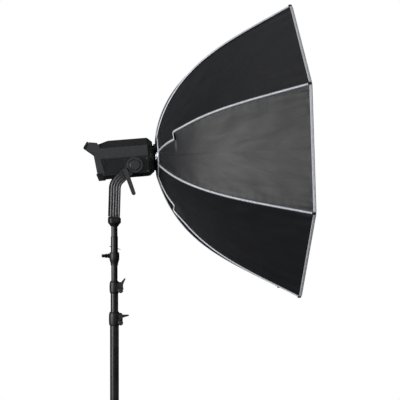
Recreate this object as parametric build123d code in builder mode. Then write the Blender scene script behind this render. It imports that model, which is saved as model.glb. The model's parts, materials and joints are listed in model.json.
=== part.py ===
from build123d import *
import os
from math import cos, radians, sin

# An octagonal studio softbox on its LED lamp head, tilting yoke and swing-leg stand.
# Millimetres. The origin is on the column's axis at floor level, +X is the way the light
# points, +Y is the lamp's left side and +Z is up. The near side is -Y.

# ---------------------------------------------------------------- driving dimensions
FIT = 0.05                  # radial clearance of shafts, pins and tubes in their bores

COLUMN_R = 17.5             # the three tubes of the column, from the floor up
RISER_1_R = 15.0
RISER_2_R = 12.5
TUBE_WALL = 1.5
COLUMN_BOTTOM, COLUMN_TOP = 150.0, 1150.0
RISER_1_BOTTOM, RISER_1_TOP = 270.0, 1272.0
RISER_2_BOTTOM, RISER_2_TOP = 420.0, 1374.0

LEG_ANGLES = (0.0, 120.0, -120.0)
LEG_LEVELS = (200.0, 243.0, 286.0)      # height of each leg's collar, stacked on the column
LEG_COLLAR_R, LEG_COLLAR_HEIGHT = 25.0, 40.0
LEG_TUBE_R = 12.5
LEG_REACH = 470.0           # column axis to foot
FOOT_HEIGHT = 46.0

COLUMN_CLAMP_Z, COLUMN_CLAMP_HEIGHT = 1119.0, 54.0
RISER_CLAMP_Z, RISER_CLAMP_HEIGHT = 1246.0, 49.0
CLAMP_EAR_X = 24.0          # column axis to the clamp screws
CLAMP_EAR_Y = 18.0          # half the width across both ears

RECEIVER_BOTTOM, RECEIVER_TOP = 1356.0, 1408.0
RECEIVER_SCREW_Z = 1394.0
PIN_R, PIN_NECK_R = 14.0, 12.5
PIN_BOTTOM, PIN_SHOULDER, PIN_TOP = 1381.0, 1471.0, 1516.0
SAFETY_PIN_Z, SAFETY_PIN_SLOPE = 1426.0, -17.0

PIVOT = Vector(75, 0, 1750)             # the lamp's tilt axis, parallel to Y
LAMP_TILT = 4.8             # nose-up angle of the lamp
BOX_TILT = 1.9              # nose-up angle of the softbox, which hangs a little on its mount
YOKE_IN, YOKE_OUT = 98.0, 114.0         # inner and outer faces of the yoke arms, from y = 0
YOKE_WIDTH = 40.0
YOKE_BASE_TOP, YOKE_BASE_THICK = 1547.0, 19.0
KNUCKLE_R, TILT_BOLT_R = 31.0, 8.0
LEVER_HUB, LEVER_TIP = (39.0, 1728.0), (70.0, 1641.0)

LAMP_HALF_WIDTH = 82.0
LAMP_FRONT, LAMP_TOP, LAMP_BOTTOM = 58.0, 103.0, -46.0
LAMP_WALL = 3.0
HOOD_FRONT = 78.0
OPTIC_HEIGHT = 26.0         # optical axis above the tilt axis, across the lamp's axis
BAYONET_R = 46.0

BOX_HEIGHT = 30.0           # softbox axis above the tilt axis, across the softbox's axis
RIBS = 8
HALF_GORE = 180.0 / RIBS
RIM_R, RIM_DEPTH = 600.0, 607.0         # corner radius of the octagon and its distance ahead
HUB_R, HUB_DEPTH = 82.5, 98.5
RIB_PROFILE = ((HUB_DEPTH, HUB_R), (152, 226), (242, 353), (400, 476), (RIM_DEPTH, RIM_R))
RIB_PROFILE_RADII = (60, 220, 600)
FABRIC = 3.0
RIB_PIVOT = (108.0, 72.0)   # depth and radius of the rib hinges
ROD_PATH = (RIB_PIVOT, (161, 222.5), (245, 346), (404, 467), (598, 586))
ROD_RADII = (60, 300, 700)
ROD_R = 2.5
RIB_PIN_R = 2.0
LATCH_R = 65.0              # softbox axis to the latch's plunger
BAFFLE_DEPTH, BAFFLE_R = 330.0, 398.0

# ---------------------------------------------------------------- planes of the two axes
X_AXIS, Y_AXIS, Z_AXIS = Vector(1, 0, 0), Vector(0, 1, 0), Vector(0, 0, 1)
LAMP_DIR = Vector(cos(radians(LAMP_TILT)), 0, sin(radians(LAMP_TILT)))
LAMP_UP = Vector(-LAMP_DIR.Z, 0, LAMP_DIR.X)
BOX_DIR = Vector(cos(radians(BOX_TILT)), 0, sin(radians(BOX_TILT)))
BOX_UP = Vector(-BOX_DIR.Z, 0, BOX_DIR.X)
BOX_ORIGIN = PIVOT + BOX_UP * BOX_HEIGHT


def lamp_side(y=0.0):
    """Plane of the lamp's side view: local x forward, y up, extruding towards -Y."""
    return Plane(origin=PIVOT + Y_AXIS * y, x_dir=LAMP_DIR, z_dir=-Y_AXIS)


def lamp_cross(forward, up=0.0):
    """Plane across the lamp's axis: local x along +Y, y up, extruding forwards."""
    return Plane(origin=PIVOT + LAMP_DIR * forward + LAMP_UP * up, x_dir=Y_AXIS, z_dir=LAMP_DIR)


def box_cross(depth):
    """Plane across the softbox's axis: local x along +Y, y up, extruding forwards."""
    return Plane(origin=BOX_ORIGIN + BOX_DIR * depth, x_dir=Y_AXIS, z_dir=BOX_DIR)


def box_radial(angle, sideways=0.0):
    """Plane through the softbox's axis: local x is depth, y is radius at this angle."""
    outward = Y_AXIS * cos(radians(angle)) + BOX_UP * sin(radians(angle))
    across = BOX_DIR.cross(outward)
    return Plane(origin=BOX_ORIGIN + across * sideways, x_dir=BOX_DIR, z_dir=across)


def save(piece, name):
    """Label the finished piece and write it as one STEP file."""
    piece.part.label = name
    export_step(piece.part, f"parts/{name}.step")


# ---------------------------------------------------------------- the column's tubes
def tube(radius, bottom, top):
    """A plain round tube on the column's axis."""
    with BuildPart() as piece:
        with BuildSketch(Plane.XY.offset(bottom)):
            Circle(radius)
            Circle(radius - TUBE_WALL, mode=Mode.SUBTRACT)
        extrude(amount=top - bottom)
    return piece


save(tube(COLUMN_R, COLUMN_BOTTOM, COLUMN_TOP), "base_column")
save(tube(RISER_1_R, RISER_1_BOTTOM, RISER_1_TOP), "riser_1_tube")
save(tube(RISER_2_R, RISER_2_BOTTOM, RISER_2_TOP), "riser_2_tube")

# The plug closes the column and keeps the leg collars on it.
with BuildPart() as base_plug:
    with BuildSketch(Plane.XY.offset(COLUMN_BOTTOM - 10)):
        Circle(LEG_COLLAR_R - 1)
    extrude(amount=9.8)
    with BuildSketch(Plane.XY.offset(COLUMN_BOTTOM - 1)):
        Circle(COLUMN_R - TUBE_WALL - FIT)
    extrude(amount=26)
    chamfer(base_plug.faces().sort_by(Axis.Z)[0].edges(), length=2)
save(base_plug, "base_plug")

# A clamping ring holds the stack of leg collars down.
with BuildPart() as leg_retainer:
    with BuildSketch(Plane.XY.offset(LEG_LEVELS[2] + LEG_COLLAR_HEIGHT / 2 + 2)):
        Circle(COLUMN_R + 7)
        Circle(COLUMN_R + FIT, mode=Mode.SUBTRACT)
    extrude(amount=16)
    with BuildSketch(Plane.YZ.offset(COLUMN_R + 1)):
        with Locations((0, LEG_LEVELS[2] + LEG_COLLAR_HEIGHT / 2 + 10)):
            Circle(3)
    extrude(amount=10, mode=Mode.SUBTRACT)
    chamfer(leg_retainer.edges().filter_by(GeomType.CIRCLE).group_by(Axis.Z)[-1], length=1)
save(leg_retainer, "leg_retainer")


# ---------------------------------------------------------------- the swinging legs
def leg_plane(angle):
    """Upright plane through the column at this bearing: local x outward, y up."""
    outward = Vector(cos(radians(angle)), sin(radians(angle)), 0)
    return Plane(origin=(0, 0, 0), x_dir=outward, z_dir=outward.cross(Z_AXIS))


def leg(angle, level):
    """A collar on the column, with a bent tube welded to it that comes down to the foot."""
    with BuildPart() as piece:
        with BuildLine(leg_plane(angle)) as route:
            FilletPolyline((COLUMN_R + 4, level), (115, level), (LEG_REACH, 74), (LEG_REACH, 12), radius=45)
        with BuildSketch(Plane(origin=route.line @ 0, z_dir=route.line % 0)):
            Circle(LEG_TUBE_R)
            Circle(LEG_TUBE_R - TUBE_WALL, mode=Mode.SUBTRACT)
        sweep(path=route.line)
        with BuildSketch(Plane.XY.offset(level - LEG_COLLAR_HEIGHT / 2)):
            Circle(LEG_COLLAR_R)
        extrude(amount=LEG_COLLAR_HEIGHT)
        with BuildSketch(Plane.XY.offset(level - LEG_COLLAR_HEIGHT / 2)):
            Circle(COLUMN_R + FIT)
        extrude(amount=LEG_COLLAR_HEIGHT, mode=Mode.SUBTRACT)
    return piece


def foot(angle):
    """A rubber boot on the end of a leg, with a flat sole."""
    with BuildPart() as piece:
        with BuildSketch(leg_plane(angle)):
            with BuildLine():
                Polyline((LEG_REACH, 0), (LEG_REACH + 19, 0), (LEG_REACH + 19, 8), (LEG_REACH + 16, 14),
                         (LEG_REACH + 16, FOOT_HEIGHT), (LEG_REACH, FOOT_HEIGHT), close=True)
            make_face()
        centre = leg_plane(angle).from_local_coords(Vector(LEG_REACH, 0, 0))
        revolve(axis=Axis(centre, Z_AXIS))
        with BuildSketch(Plane(origin=centre + Z_AXIS * 11, z_dir=Z_AXIS)):
            Circle(LEG_TUBE_R + 0.3)
        extrude(amount=FOOT_HEIGHT, mode=Mode.SUBTRACT)
    return piece


for number, (bearing, height) in enumerate(zip(LEG_ANGLES, LEG_LEVELS), start=1):
    save(leg(bearing, height), f"leg_{number}")
    save(foot(bearing), f"foot_{number}")


# ---------------------------------------------------------------- the tube clamps
def tube_clamp(bottom, height, lower_r, upper_r, join):
    """A split collar that grips the riser: it holds the lower tube up to the height join."""
    with BuildPart() as piece:
        with BuildSketch(Plane.XZ):
            with BuildLine():
                outer = lower_r + 3.5
                Polyline((0, bottom), (outer - 2, bottom), (outer, bottom + 5))
                ThreePointArc((outer, bottom + 5), (outer + 1, bottom + height / 2), (outer, bottom + height - 7))
                Polyline((outer, bottom + height - 7), (outer - 3, bottom + height), (0, bottom + height),
                         (0, bottom))
            make_face()
        revolve(axis=Axis.Z)
        with BuildSketch(Plane.XZ.offset(-CLAMP_EAR_Y)):
            with Locations((CLAMP_EAR_X - 4, bottom + height / 2)):
                RectangleRounded(24, height - 12, 7)
        extrude(amount=2 * CLAMP_EAR_Y)
        with BuildSketch(Plane.XY.offset(bottom)):
            Circle(lower_r + FIT)
        extrude(amount=join - bottom, mode=Mode.SUBTRACT)
        with BuildSketch(Plane.XY.offset(join)):
            Circle(upper_r + FIT)
        extrude(amount=height, mode=Mode.SUBTRACT)
        with BuildSketch(Plane.XY.offset(bottom)):
            with Locations((lower_r + 15, 0)):
                Rectangle(32, 2.4)
        extrude(amount=height, mode=Mode.SUBTRACT)
        with BuildSketch(Plane.XZ.offset(-CLAMP_EAR_Y)):
            with Locations(*clamp_screws(bottom, height)):
                Circle(3 + FIT)
        extrude(amount=2 * CLAMP_EAR_Y, mode=Mode.SUBTRACT)
    return piece


def clamp_screws(bottom, height):
    """Places of the clamp's two screws in the XZ plane: the locking one, then the tension one."""
    return (CLAMP_EAR_X, bottom + height - 15), (CLAMP_EAR_X, bottom + 12)


def wing_lever(bottom, height, turn):
    """The locking screw of a clamp, with a two-winged lever; turn is its long wing's angle."""
    hub = clamp_screws(bottom, height)[0]
    with BuildPart() as piece:
        with BuildSketch(Plane.XZ.offset(-CLAMP_EAR_Y)):
            with Locations(hub):
                Circle(3)
        extrude(amount=2 * CLAMP_EAR_Y + 2)
        with BuildSketch(Plane.XZ.offset(CLAMP_EAR_Y + 1)):
            with Locations(hub):
                Circle(9)
        extrude(amount=18)
        for length, angle, tip in ((32, turn, 2.5), (19, turn - 118, 2.5)):
            with BuildSketch(Plane.XZ.offset(CLAMP_EAR_Y + 10)):
                with Locations(hub):
                    Circle(7)
                    with PolarLocations(length - tip, 1, start_angle=angle):
                        Circle(tip)
                make_hull()
            extrude(amount=8)
    return piece


def tension_screw(bottom, height):
    """The round-headed screw that sets a clamp's drag, with its nut on the far side."""
    spot = clamp_screws(bottom, height)[1]
    with BuildPart() as piece:
        with BuildSketch(Plane.XZ.offset(-CLAMP_EAR_Y - 0.2)):
            with Locations(spot):
                Circle(3)
        extrude(amount=2 * CLAMP_EAR_Y + 2)
        with BuildSketch(Plane.XZ.offset(CLAMP_EAR_Y + 0.2)):
            with Locations(spot):
                Circle(9.5)
        extrude(amount=9)
        fillet(piece.faces().sort_by(Axis.Y)[0].edges(), radius=2)
        with BuildSketch(Plane.XZ.offset(CLAMP_EAR_Y + 6)):
            with Locations(spot):
                RegularPolygon(3, 6)
        extrude(amount=8, mode=Mode.SUBTRACT)
        with BuildSketch(Plane.XZ.offset(-CLAMP_EAR_Y - 0.2)):
            with Locations(spot):
                RegularPolygon(5.5, 6)
        extrude(amount=-5)
    return piece


save(tube_clamp(COLUMN_CLAMP_Z, COLUMN_CLAMP_HEIGHT, COLUMN_R, RISER_1_R, COLUMN_TOP + 0.3), "column_clamp")
save(wing_lever(COLUMN_CLAMP_Z, COLUMN_CLAMP_HEIGHT, 8), "column_handle")
save(tension_screw(COLUMN_CLAMP_Z, COLUMN_CLAMP_HEIGHT), "column_tension_screw")
save(tube_clamp(RISER_CLAMP_Z, RISER_CLAMP_HEIGHT, RISER_1_R, RISER_2_R, RISER_1_TOP + 0.3), "riser_1_clamp")
save(wing_lever(RISER_CLAMP_Z, RISER_CLAMP_HEIGHT, 58), "riser_1_handle")
save(tension_screw(RISER_CLAMP_Z, RISER_CLAMP_HEIGHT), "riser_1_tension_screw")

# ---------------------------------------------------------------- receiver and pin
# The receiver caps the top riser. Its bore takes the yoke's 28 mm pin.
with BuildPart() as receiver:
    with BuildSketch(Plane.XZ):
        with BuildLine():
            Polyline((0, RECEIVER_BOTTOM), (14.2, RECEIVER_BOTTOM), (14.8, RECEIVER_BOTTOM + 8),
                     (19.5, RECEIVER_BOTTOM + 24), (19.5, RECEIVER_TOP - 6), (17.5, RECEIVER_TOP),
                     (0, RECEIVER_TOP), close=True)
        make_face()
    revolve(axis=Axis.Z)
    with BuildSketch(Plane.YZ.offset(-12)):
        with Locations((0, RECEIVER_SCREW_Z)):
            Circle(9)
    extrude(amount=-14)
    with BuildSketch(Plane.XY.offset(PIN_BOTTOM - 1)):
        Circle(PIN_R + FIT)
    extrude(amount=60, mode=Mode.SUBTRACT)
    with BuildSketch(Plane.XY.offset(RECEIVER_BOTTOM)):
        Circle(RISER_2_R + FIT)
    extrude(amount=RISER_2_TOP + 1 - RECEIVER_BOTTOM, mode=Mode.SUBTRACT)
    with BuildSketch(Plane.YZ.offset(-10)):
        with Locations((0, RECEIVER_SCREW_Z)):
            Circle(4 + FIT)
    extrude(amount=-20, mode=Mode.SUBTRACT)
save(receiver, "receiver")

# The receiver's T-screw has two wings swept back away from the column.
with BuildPart() as receiver_handle:
    with BuildSketch(Plane.YZ.offset(-14.4)):
        with Locations((0, RECEIVER_SCREW_Z)):
            Circle(4)
    extrude(amount=-20)
    with BuildSketch(Plane.YZ.offset(-27)):
        with Locations((0, RECEIVER_SCREW_Z)):
            Circle(8)
    extrude(amount=-9)
    with BuildSketch(Plane.XY.offset(RECEIVER_SCREW_Z - 5)):
        for side in (1, -1):
            with BuildLine():
                Polyline((-27.5, 0), (-27.5, 9 * side), (-36, 20 * side), (-49, 26 * side), (-50, 22 * side),
                         (-41, 13 * side), (-36, 0), close=True)
            make_face()
    extrude(amount=10)
    fillet(receiver_handle.edges().filter_by(Axis.Z), radius=1)
save(receiver_handle, "receiver_handle")

with BuildPart() as junior_pin:
    with BuildSketch(Plane.XZ):
        with BuildLine():
            Polyline((0, PIN_BOTTOM), (PIN_R - 2, PIN_BOTTOM), (PIN_R, PIN_BOTTOM + 2), (PIN_R, PIN_BOTTOM + 6),
                     (PIN_R - 1.2, PIN_BOTTOM + 8), (PIN_R - 1.2, PIN_BOTTOM + 20), (PIN_R, PIN_BOTTOM + 22),
                     (PIN_R, PIN_SHOULDER - 1.5), (PIN_NECK_R, PIN_SHOULDER), (PIN_NECK_R, PIN_TOP), (0, PIN_TOP),
                     close=True)
        make_face()
    revolve(axis=Axis.Z)
    pin_hole = Plane(origin=(0, 0, SAFETY_PIN_Z), x_dir=Y_AXIS,
                     z_dir=(cos(radians(SAFETY_PIN_SLOPE)), 0, sin(radians(SAFETY_PIN_SLOPE))))
    with BuildSketch(pin_hole):
        Circle(1.5 + FIT)
    extrude(amount=30, both=True, mode=Mode.SUBTRACT)
save(junior_pin, "junior_pin")

# A wire pin with a pull ring crosses the junior pin above the receiver.
with BuildPart() as safety_pin:
    with BuildSketch(pin_hole.offset(-20)):
        Circle(1.5)
    extrude(amount=37)
    ring_centre = pin_hole.origin + pin_hole.z_dir * 20
    with BuildSketch(Plane(origin=ring_centre, x_dir=pin_hole.z_dir, z_dir=pin_hole.x_dir)):
        with Locations((4, 0)):
            Circle(1.2)
    revolve(axis=Axis(ring_centre, pin_hole.y_dir))
save(safety_pin, "safety_pin")

# ---------------------------------------------------------------- the yoke
# The cast base joins both arms and tapers down on to the pin's neck.
with BuildPart() as yoke_base:
    with BuildSketch(Plane.XY.offset(YOKE_BASE_TOP - YOKE_BASE_THICK)):
        RectangleRounded(YOKE_WIDTH + 4, 2 * YOKE_OUT + 4, 9)
    extrude(amount=YOKE_BASE_THICK - 1)
    with BuildSketch(Plane.XZ):
        with BuildLine():
            Polyline((0, 1510), (15.5, 1510), (17, 1514), (25.5, 1524), (25.5, 1540), (0, 1540), close=True)
        make_face()
    revolve(axis=Axis.Z)
    with BuildSketch(Plane.XY.offset(1505)):
        Circle(PIN_NECK_R + FIT)
    extrude(amount=PIN_TOP - 1505 + 0.3, mode=Mode.SUBTRACT)
    fillet(yoke_base.faces().filter_by(Axis.Z).sort_by(Axis.Z)[-1].edges(), radius=3)
save(yoke_base, "yoke_base")


def yoke_arm(side):
    """One ribbed arm: up from the base, bent forward, with a knuckle round the tilt axis."""
    y_mid = side * (YOKE_IN + YOKE_OUT) / 2
    thick = YOKE_OUT - YOKE_IN
    inner_face = Plane(origin=(0, side * YOKE_IN, 0), x_dir=X_AXIS, z_dir=Y_AXIS * side)
    axis_spot = inner_face.to_local_coords(PIVOT)
    lever_spot = inner_face.to_local_coords(Vector(LEVER_HUB[0], 0, LEVER_HUB[1]))
    with BuildPart() as piece:
        with BuildLine(Plane(origin=(0, y_mid, 0), x_dir=X_AXIS, z_dir=-Y_AXIS)) as route:
            FilletPolyline((-2, YOKE_BASE_TOP), (2, 1679), (58, 1735), radius=48)
        with BuildSketch(Plane(origin=route.line @ 0, x_dir=Y_AXIS, z_dir=route.line % 0)):
            Rectangle(thick, YOKE_WIDTH)
            for across in (-10, 0, 10):
                for face in (-1, 1):
                    with Locations((face * thick / 2, across)):
                        Rectangle(5, 4.5, mode=Mode.SUBTRACT)
        sweep(path=route.line)
        with BuildSketch(inner_face):
            with Locations((axis_spot.X, axis_spot.Y)):
                Circle(KNUCKLE_R)
        extrude(amount=thick)
        with BuildSketch(inner_face):
            with Locations((axis_spot.X, axis_spot.Y)):
                Circle(TILT_BOLT_R + FIT)
        extrude(amount=thick, mode=Mode.SUBTRACT)
        if side < 0:
            with BuildSketch(inner_face):
                with Locations((lever_spot.X, lever_spot.Y)):
                    Circle(10)
            extrude(amount=thick)
            with BuildSketch(inner_face):
                with Locations((lever_spot.X, lever_spot.Y)):
                    Circle(4 + FIT)
            extrude(amount=thick, mode=Mode.SUBTRACT)
    return piece


arms = [yoke_arm(side).part for side in (-1, 1)]
with BuildPart() as yoke_arms:
    for arm in arms:
        add(arm)
save(yoke_arms, "yoke_arms")

# Stepped round covers close the outside of both knuckles.
with BuildPart() as tilt_discs:
    for side in (-1, 1):
        with BuildSketch(Plane(origin=PIVOT, x_dir=Y_AXIS * side, z_dir=(Y_AXIS * side).cross(X_AXIS))):
            with BuildLine():
                Polyline((YOKE_OUT, 0), (YOKE_OUT, 32), (YOKE_OUT + 6, 32), (YOKE_OUT + 8, 30), (YOKE_OUT + 8, 25),
                         (YOKE_OUT + 4, 24), (YOKE_OUT + 4, 21), (YOKE_OUT + 8, 20), (YOKE_OUT + 9, 18),
                         (YOKE_OUT + 9, 0), close=True)
            make_face()
        revolve(axis=Axis(PIVOT, Y_AXIS))
save(tilt_discs, "tilt_discs")

# The clamping lever stands on the near arm beside the tilt axis.
with BuildPart() as tilt_lever:
    with BuildSketch(Plane.XZ.offset(YOKE_IN + 2)):
        with Locations(LEVER_HUB):
            Circle(4)
    extrude(amount=18)
    with BuildSketch(Plane.XZ.offset(YOKE_OUT + 0.5)):
        with Locations(LEVER_HUB):
            Circle(9)
    extrude(amount=12)
    with BuildSketch(Plane.XZ.offset(YOKE_OUT + 10)):
        with Locations(LEVER_HUB):
            Circle(9)
        with Locations(LEVER_TIP):
            Circle(7.5)
        make_hull()
    extrude(amount=9)
    fillet(tilt_lever.faces().sort_by(Axis.Y)[0].edges(), radius=2)
save(tilt_lever, "tilt_lever")

# ---------------------------------------------------------------- the lamp's casing
CASE_OUTLINE = ((LAMP_FRONT, LAMP_BOTTOM), (LAMP_FRONT, LAMP_TOP), (-94, LAMP_TOP), (-134, 91), (-125, -24),
                (-121, LAMP_BOTTOM))
CASE_SECTION = ((-70, LAMP_BOTTOM), (-LAMP_HALF_WIDTH, -33), (-LAMP_HALF_WIDTH, 76), (-58, LAMP_TOP),
                (58, LAMP_TOP), (LAMP_HALF_WIDTH, 76), (LAMP_HALF_WIDTH, -33), (70, LAMP_BOTTOM))
GRILLE_CENTRE, GRILLE_SIZE = (-75, 0), (78, 54)
REAR_MIDDLE = PIVOT + LAMP_DIR * -129.3 + LAMP_UP * 31
REAR_UP = (LAMP_DIR * -9 + LAMP_UP * 115).normalized()
REAR_OUT = REAR_UP.cross(Y_AXIS)
REAR = Plane(origin=REAR_MIDDLE, x_dir=REAR_UP.cross(REAR_OUT), z_dir=REAR_OUT)
PANEL_SIZE = (128, 92)
PANEL_THICK = 2.5
SOCKET_SPOT, DIAL_SPOT, SWITCH_SPOT, DISPLAY_SPOT = (-40, -25), (40, 12), (38, -26), (-14, 20)

with BuildPart() as case_solid:
    with BuildSketch(lamp_side(LAMP_HALF_WIDTH)):
        Polygon(*CASE_OUTLINE, align=None)
    extrude(amount=2 * LAMP_HALF_WIDTH)
    with BuildSketch(lamp_cross(-160)):
        Polygon(*CASE_SECTION, align=None)
    extrude(amount=240, mode=Mode.INTERSECT)

with BuildPart() as case_cavity:
    with BuildSketch(lamp_side(LAMP_HALF_WIDTH)):
        Polygon(*CASE_OUTLINE, align=None)
        offset(amount=-LAMP_WALL, mode=Mode.REPLACE)
        with Locations((LAMP_FRONT, (LAMP_TOP + LAMP_BOTTOM) / 2)):
            Rectangle(12, LAMP_TOP - LAMP_BOTTOM - 2 * LAMP_WALL)
    extrude(amount=2 * LAMP_HALF_WIDTH)
    with BuildSketch(lamp_cross(-160)):
        Polygon(*CASE_SECTION, align=None)
        offset(amount=-LAMP_WALL, mode=Mode.REPLACE)
    extrude(amount=240, mode=Mode.INTERSECT)


def housing(side):
    """Half of the lamp's casing, split down the middle, open in front and behind the panel."""
    with BuildPart() as piece:
        add(case_solid.part)
        add(case_cavity.part, mode=Mode.SUBTRACT)
        with BuildSketch(lamp_side()):
            with Locations(GRILLE_CENTRE):
                Rectangle(*GRILLE_SIZE)
        extrude(amount=2 * LAMP_HALF_WIDTH, both=True, mode=Mode.SUBTRACT)
        with BuildSketch(REAR.offset(-12)):
            Rectangle(PANEL_SIZE[0] - 16, PANEL_SIZE[1] - 16)
        extrude(amount=20, mode=Mode.SUBTRACT)
        with BuildSketch(lamp_side()):
            Rectangle(500, 500)
        extrude(amount=-side * 200, mode=Mode.INTERSECT)
    return piece


save(housing(-1), "housing_near")
save(housing(1), "housing_far")

# Louvred panels fill the windows in both sides, each with a dust screen behind its louvres.
SCREEN_THICK = 1.0
with BuildPart() as side_grilles:
    for side in (-1, 1):
        face = lamp_side(side * (LAMP_HALF_WIDTH - LAMP_WALL))
        with BuildSketch(face):
            with Locations(GRILLE_CENTRE):
                Rectangle(GRILLE_SIZE[0] - 0.4, GRILLE_SIZE[1] - 0.4)
                Rectangle(GRILLE_SIZE[0] - 8, GRILLE_SIZE[1] - 8, mode=Mode.SUBTRACT)
                with GridLocations(1, 6.5, 1, 7):
                    Rectangle(GRILLE_SIZE[0] - 6, 3)
        extrude(amount=-side * LAMP_WALL)
        with BuildSketch(face):
            with Locations(GRILLE_CENTRE):
                Rectangle(GRILLE_SIZE[0] - 0.4, GRILLE_SIZE[1] - 0.4)
        extrude(amount=side * SCREEN_THICK)
save(side_grilles, "side_grilles")

# The grey side covers run along the top and back into the handle's horns. Behind the casing
# they are thick cheeks, which stand past the rear panel and guard its controls.
COVER_OUTLINE = ((LAMP_FRONT - 2, 33), (LAMP_FRONT - 2, 75), (-128, 75), (-131, 91), (-168, 102), (-180, 76),
                 (-151, 52), (-143, -20), (-116, -26), (-128, 34))
CHEEK_OUTLINE = ((-135, 86), (-135.5, 97), (-168, 102), (-180, 76), (-151, 52), (-143, -20), (-126.2, -20))
with BuildPart() as side_covers:
    for side in (-1, 1):
        with BuildSketch(lamp_side(side * (LAMP_HALF_WIDTH + 0.1))):
            Polygon(*COVER_OUTLINE, align=None)
        extrude(amount=-side * 3)
        with BuildSketch(lamp_side(side * (LAMP_HALF_WIDTH - 7))):
            Polygon(*CHEEK_OUTLINE, align=None)
        extrude(amount=-side * 8)
save(side_covers, "side_covers")

# The grip bar joins the horns and closes their ends.
with BuildPart() as handle_grip:
    with BuildSketch(lamp_side(LAMP_HALF_WIDTH + 4)):
        Polygon((-168.5, 102.3), (-175.3, 105.1), (-190.1, 84.6), (-180.6, 76), align=None)
    extrude(amount=2 * LAMP_HALF_WIDTH + 8)
    fillet(handle_grip.edges().filter_by(Axis.Y), radius=2)
save(handle_grip, "handle_grip")

# ---------------------------------------------------------------- the lamp's rear panel
with BuildPart() as rear_panel:
    with BuildSketch(REAR.offset(0.2)):
        RectangleRounded(*PANEL_SIZE, 6)
    extrude(amount=PANEL_THICK)
    with BuildSketch(REAR):
        with Locations(SWITCH_SPOT):
            Rectangle(24, 15)
        with Locations(DIAL_SPOT):
            Circle(4 + FIT)
        with Locations(SOCKET_SPOT):
            Circle(10.1)
        with Locations(DISPLAY_SPOT):
            Rectangle(60, 34)
    extrude(amount=10, mode=Mode.SUBTRACT)
save(rear_panel, "rear_panel")

with BuildPart() as display_window:
    with BuildSketch(REAR.offset(0.2)):
        with Locations(DISPLAY_SPOT):
            Rectangle(59.6, 33.6)
    extrude(amount=2)
save(display_window, "display_window")

with BuildPart() as dimmer_dial:
    with BuildSketch(REAR.offset(-6)):
        with Locations(DIAL_SPOT):
            Circle(4)
    extrude(amount=10)
    with BuildSketch(REAR.offset(PANEL_THICK + 0.7)):
        with Locations(DIAL_SPOT):
            Circle(14)
            with PolarLocations(14.4, 18):
                Circle(1, mode=Mode.SUBTRACT)
    extrude(amount=14)
    chamfer(dimmer_dial.faces().sort_by(Axis(REAR_MIDDLE, REAR_OUT))[-1].edges(), length=0.8)
save(dimmer_dial, "dimmer_dial")

rocker_end = Plane(origin=REAR.from_local_coords(Vector(*SWITCH_SPOT, 0)), x_dir=REAR_OUT, z_dir=REAR.x_dir)
with BuildPart() as power_switch:
    with BuildSketch(rocker_end):
        with BuildLine():
            Polyline((-5, 0), (-4, -5), (2.6, -6.2), (4.2, -6.2), (3.4, 0), (4.2, 6.2), (2.6, 6.2), (-4, 5), close=True)
        make_face()
    extrude(amount=11, both=True)
    with BuildSketch(rocker_end):
        Circle(1.5)
    extrude(amount=11.8, both=True)
save(power_switch, "power_switch")

with BuildPart() as cable_socket:
    with BuildSketch(REAR.offset(-14)):
        with Locations(SOCKET_SPOT):
            Circle(10)
    extrude(amount=18)
    with BuildSketch(REAR.offset(PANEL_THICK + 0.4)):
        with Locations(SOCKET_SPOT):
            Circle(14)
    extrude(amount=8)
    with BuildSketch(REAR.offset(PANEL_THICK - 6)):
        with Locations(SOCKET_SPOT):
            Circle(8.5)
    extrude(amount=20, mode=Mode.SUBTRACT)
save(cable_socket, "cable_socket")

with BuildPart() as rear_bumper:
    with BuildSketch(lamp_side(62)):
        Polygon((-125.5, -24.3), (-148, -22), (-139, -50), (-114, -50), (-114, -46.3), (-121.5, -46.3), align=None)
    extrude(amount=124)
save(rear_bumper, "rear_bumper")

# ---------------------------------------------------------------- the lamp's front
HOOD_NOSE = ((-54, -31), (-66, -20), (-66, 64), (-46, 86), (46, 86), (66, 64), (66, -20), (54, -31))
with BuildPart() as front_hood:
    with BuildSketch(lamp_cross(LAMP_FRONT + 0.2)):
        Polygon(*CASE_SECTION, align=None)
    with BuildSketch(lamp_cross(HOOD_FRONT)):
        Polygon(*HOOD_NOSE, align=None)
    loft(ruled=True)
    with BuildSketch(lamp_cross(LAMP_FRONT - 1, OPTIC_HEIGHT)):
        Circle(50)
    extrude(amount=12, mode=Mode.SUBTRACT)
    with BuildSketch(lamp_cross(LAMP_FRONT - 1, OPTIC_HEIGHT)):
        Circle(42)
    extrude(amount=40, mode=Mode.SUBTRACT)
save(front_hood, "front_hood")

with BuildPart() as bayonet_ring:
    with BuildSketch(lamp_cross(HOOD_FRONT + 0.2, OPTIC_HEIGHT)):
        Circle(BAYONET_R + 3)
        Circle(BAYONET_R - 4, mode=Mode.SUBTRACT)
    extrude(amount=1.6)
    with BuildSketch(lamp_cross(HOOD_FRONT + 0.2, OPTIC_HEIGHT)):
        Circle(BAYONET_R)
        Circle(BAYONET_R - 4, mode=Mode.SUBTRACT)
    extrude(amount=11)
    with BuildSketch(lamp_cross(HOOD_FRONT + 5, OPTIC_HEIGHT)):
        with PolarLocations(BAYONET_R, 3):
            Rectangle(12, 18)
    extrude(amount=20, mode=Mode.SUBTRACT)
save(bayonet_ring, "bayonet_ring")

with BuildPart() as led_glass:
    with BuildSketch(lamp_cross(LAMP_FRONT + 7, OPTIC_HEIGHT)):
        Circle(49)
    extrude(amount=3)
    chamfer(led_glass.edges(), length=0.5)
save(led_glass, "led_glass")

with BuildPart() as cob_led:
    with BuildSketch(lamp_cross(49, OPTIC_HEIGHT)):
        Rectangle(54, 54)
    extrude(amount=2.5)
    with BuildSketch(lamp_cross(51, OPTIC_HEIGHT)):
        Circle(19)
    extrude(amount=2)
save(cob_led, "cob_led")

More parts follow.
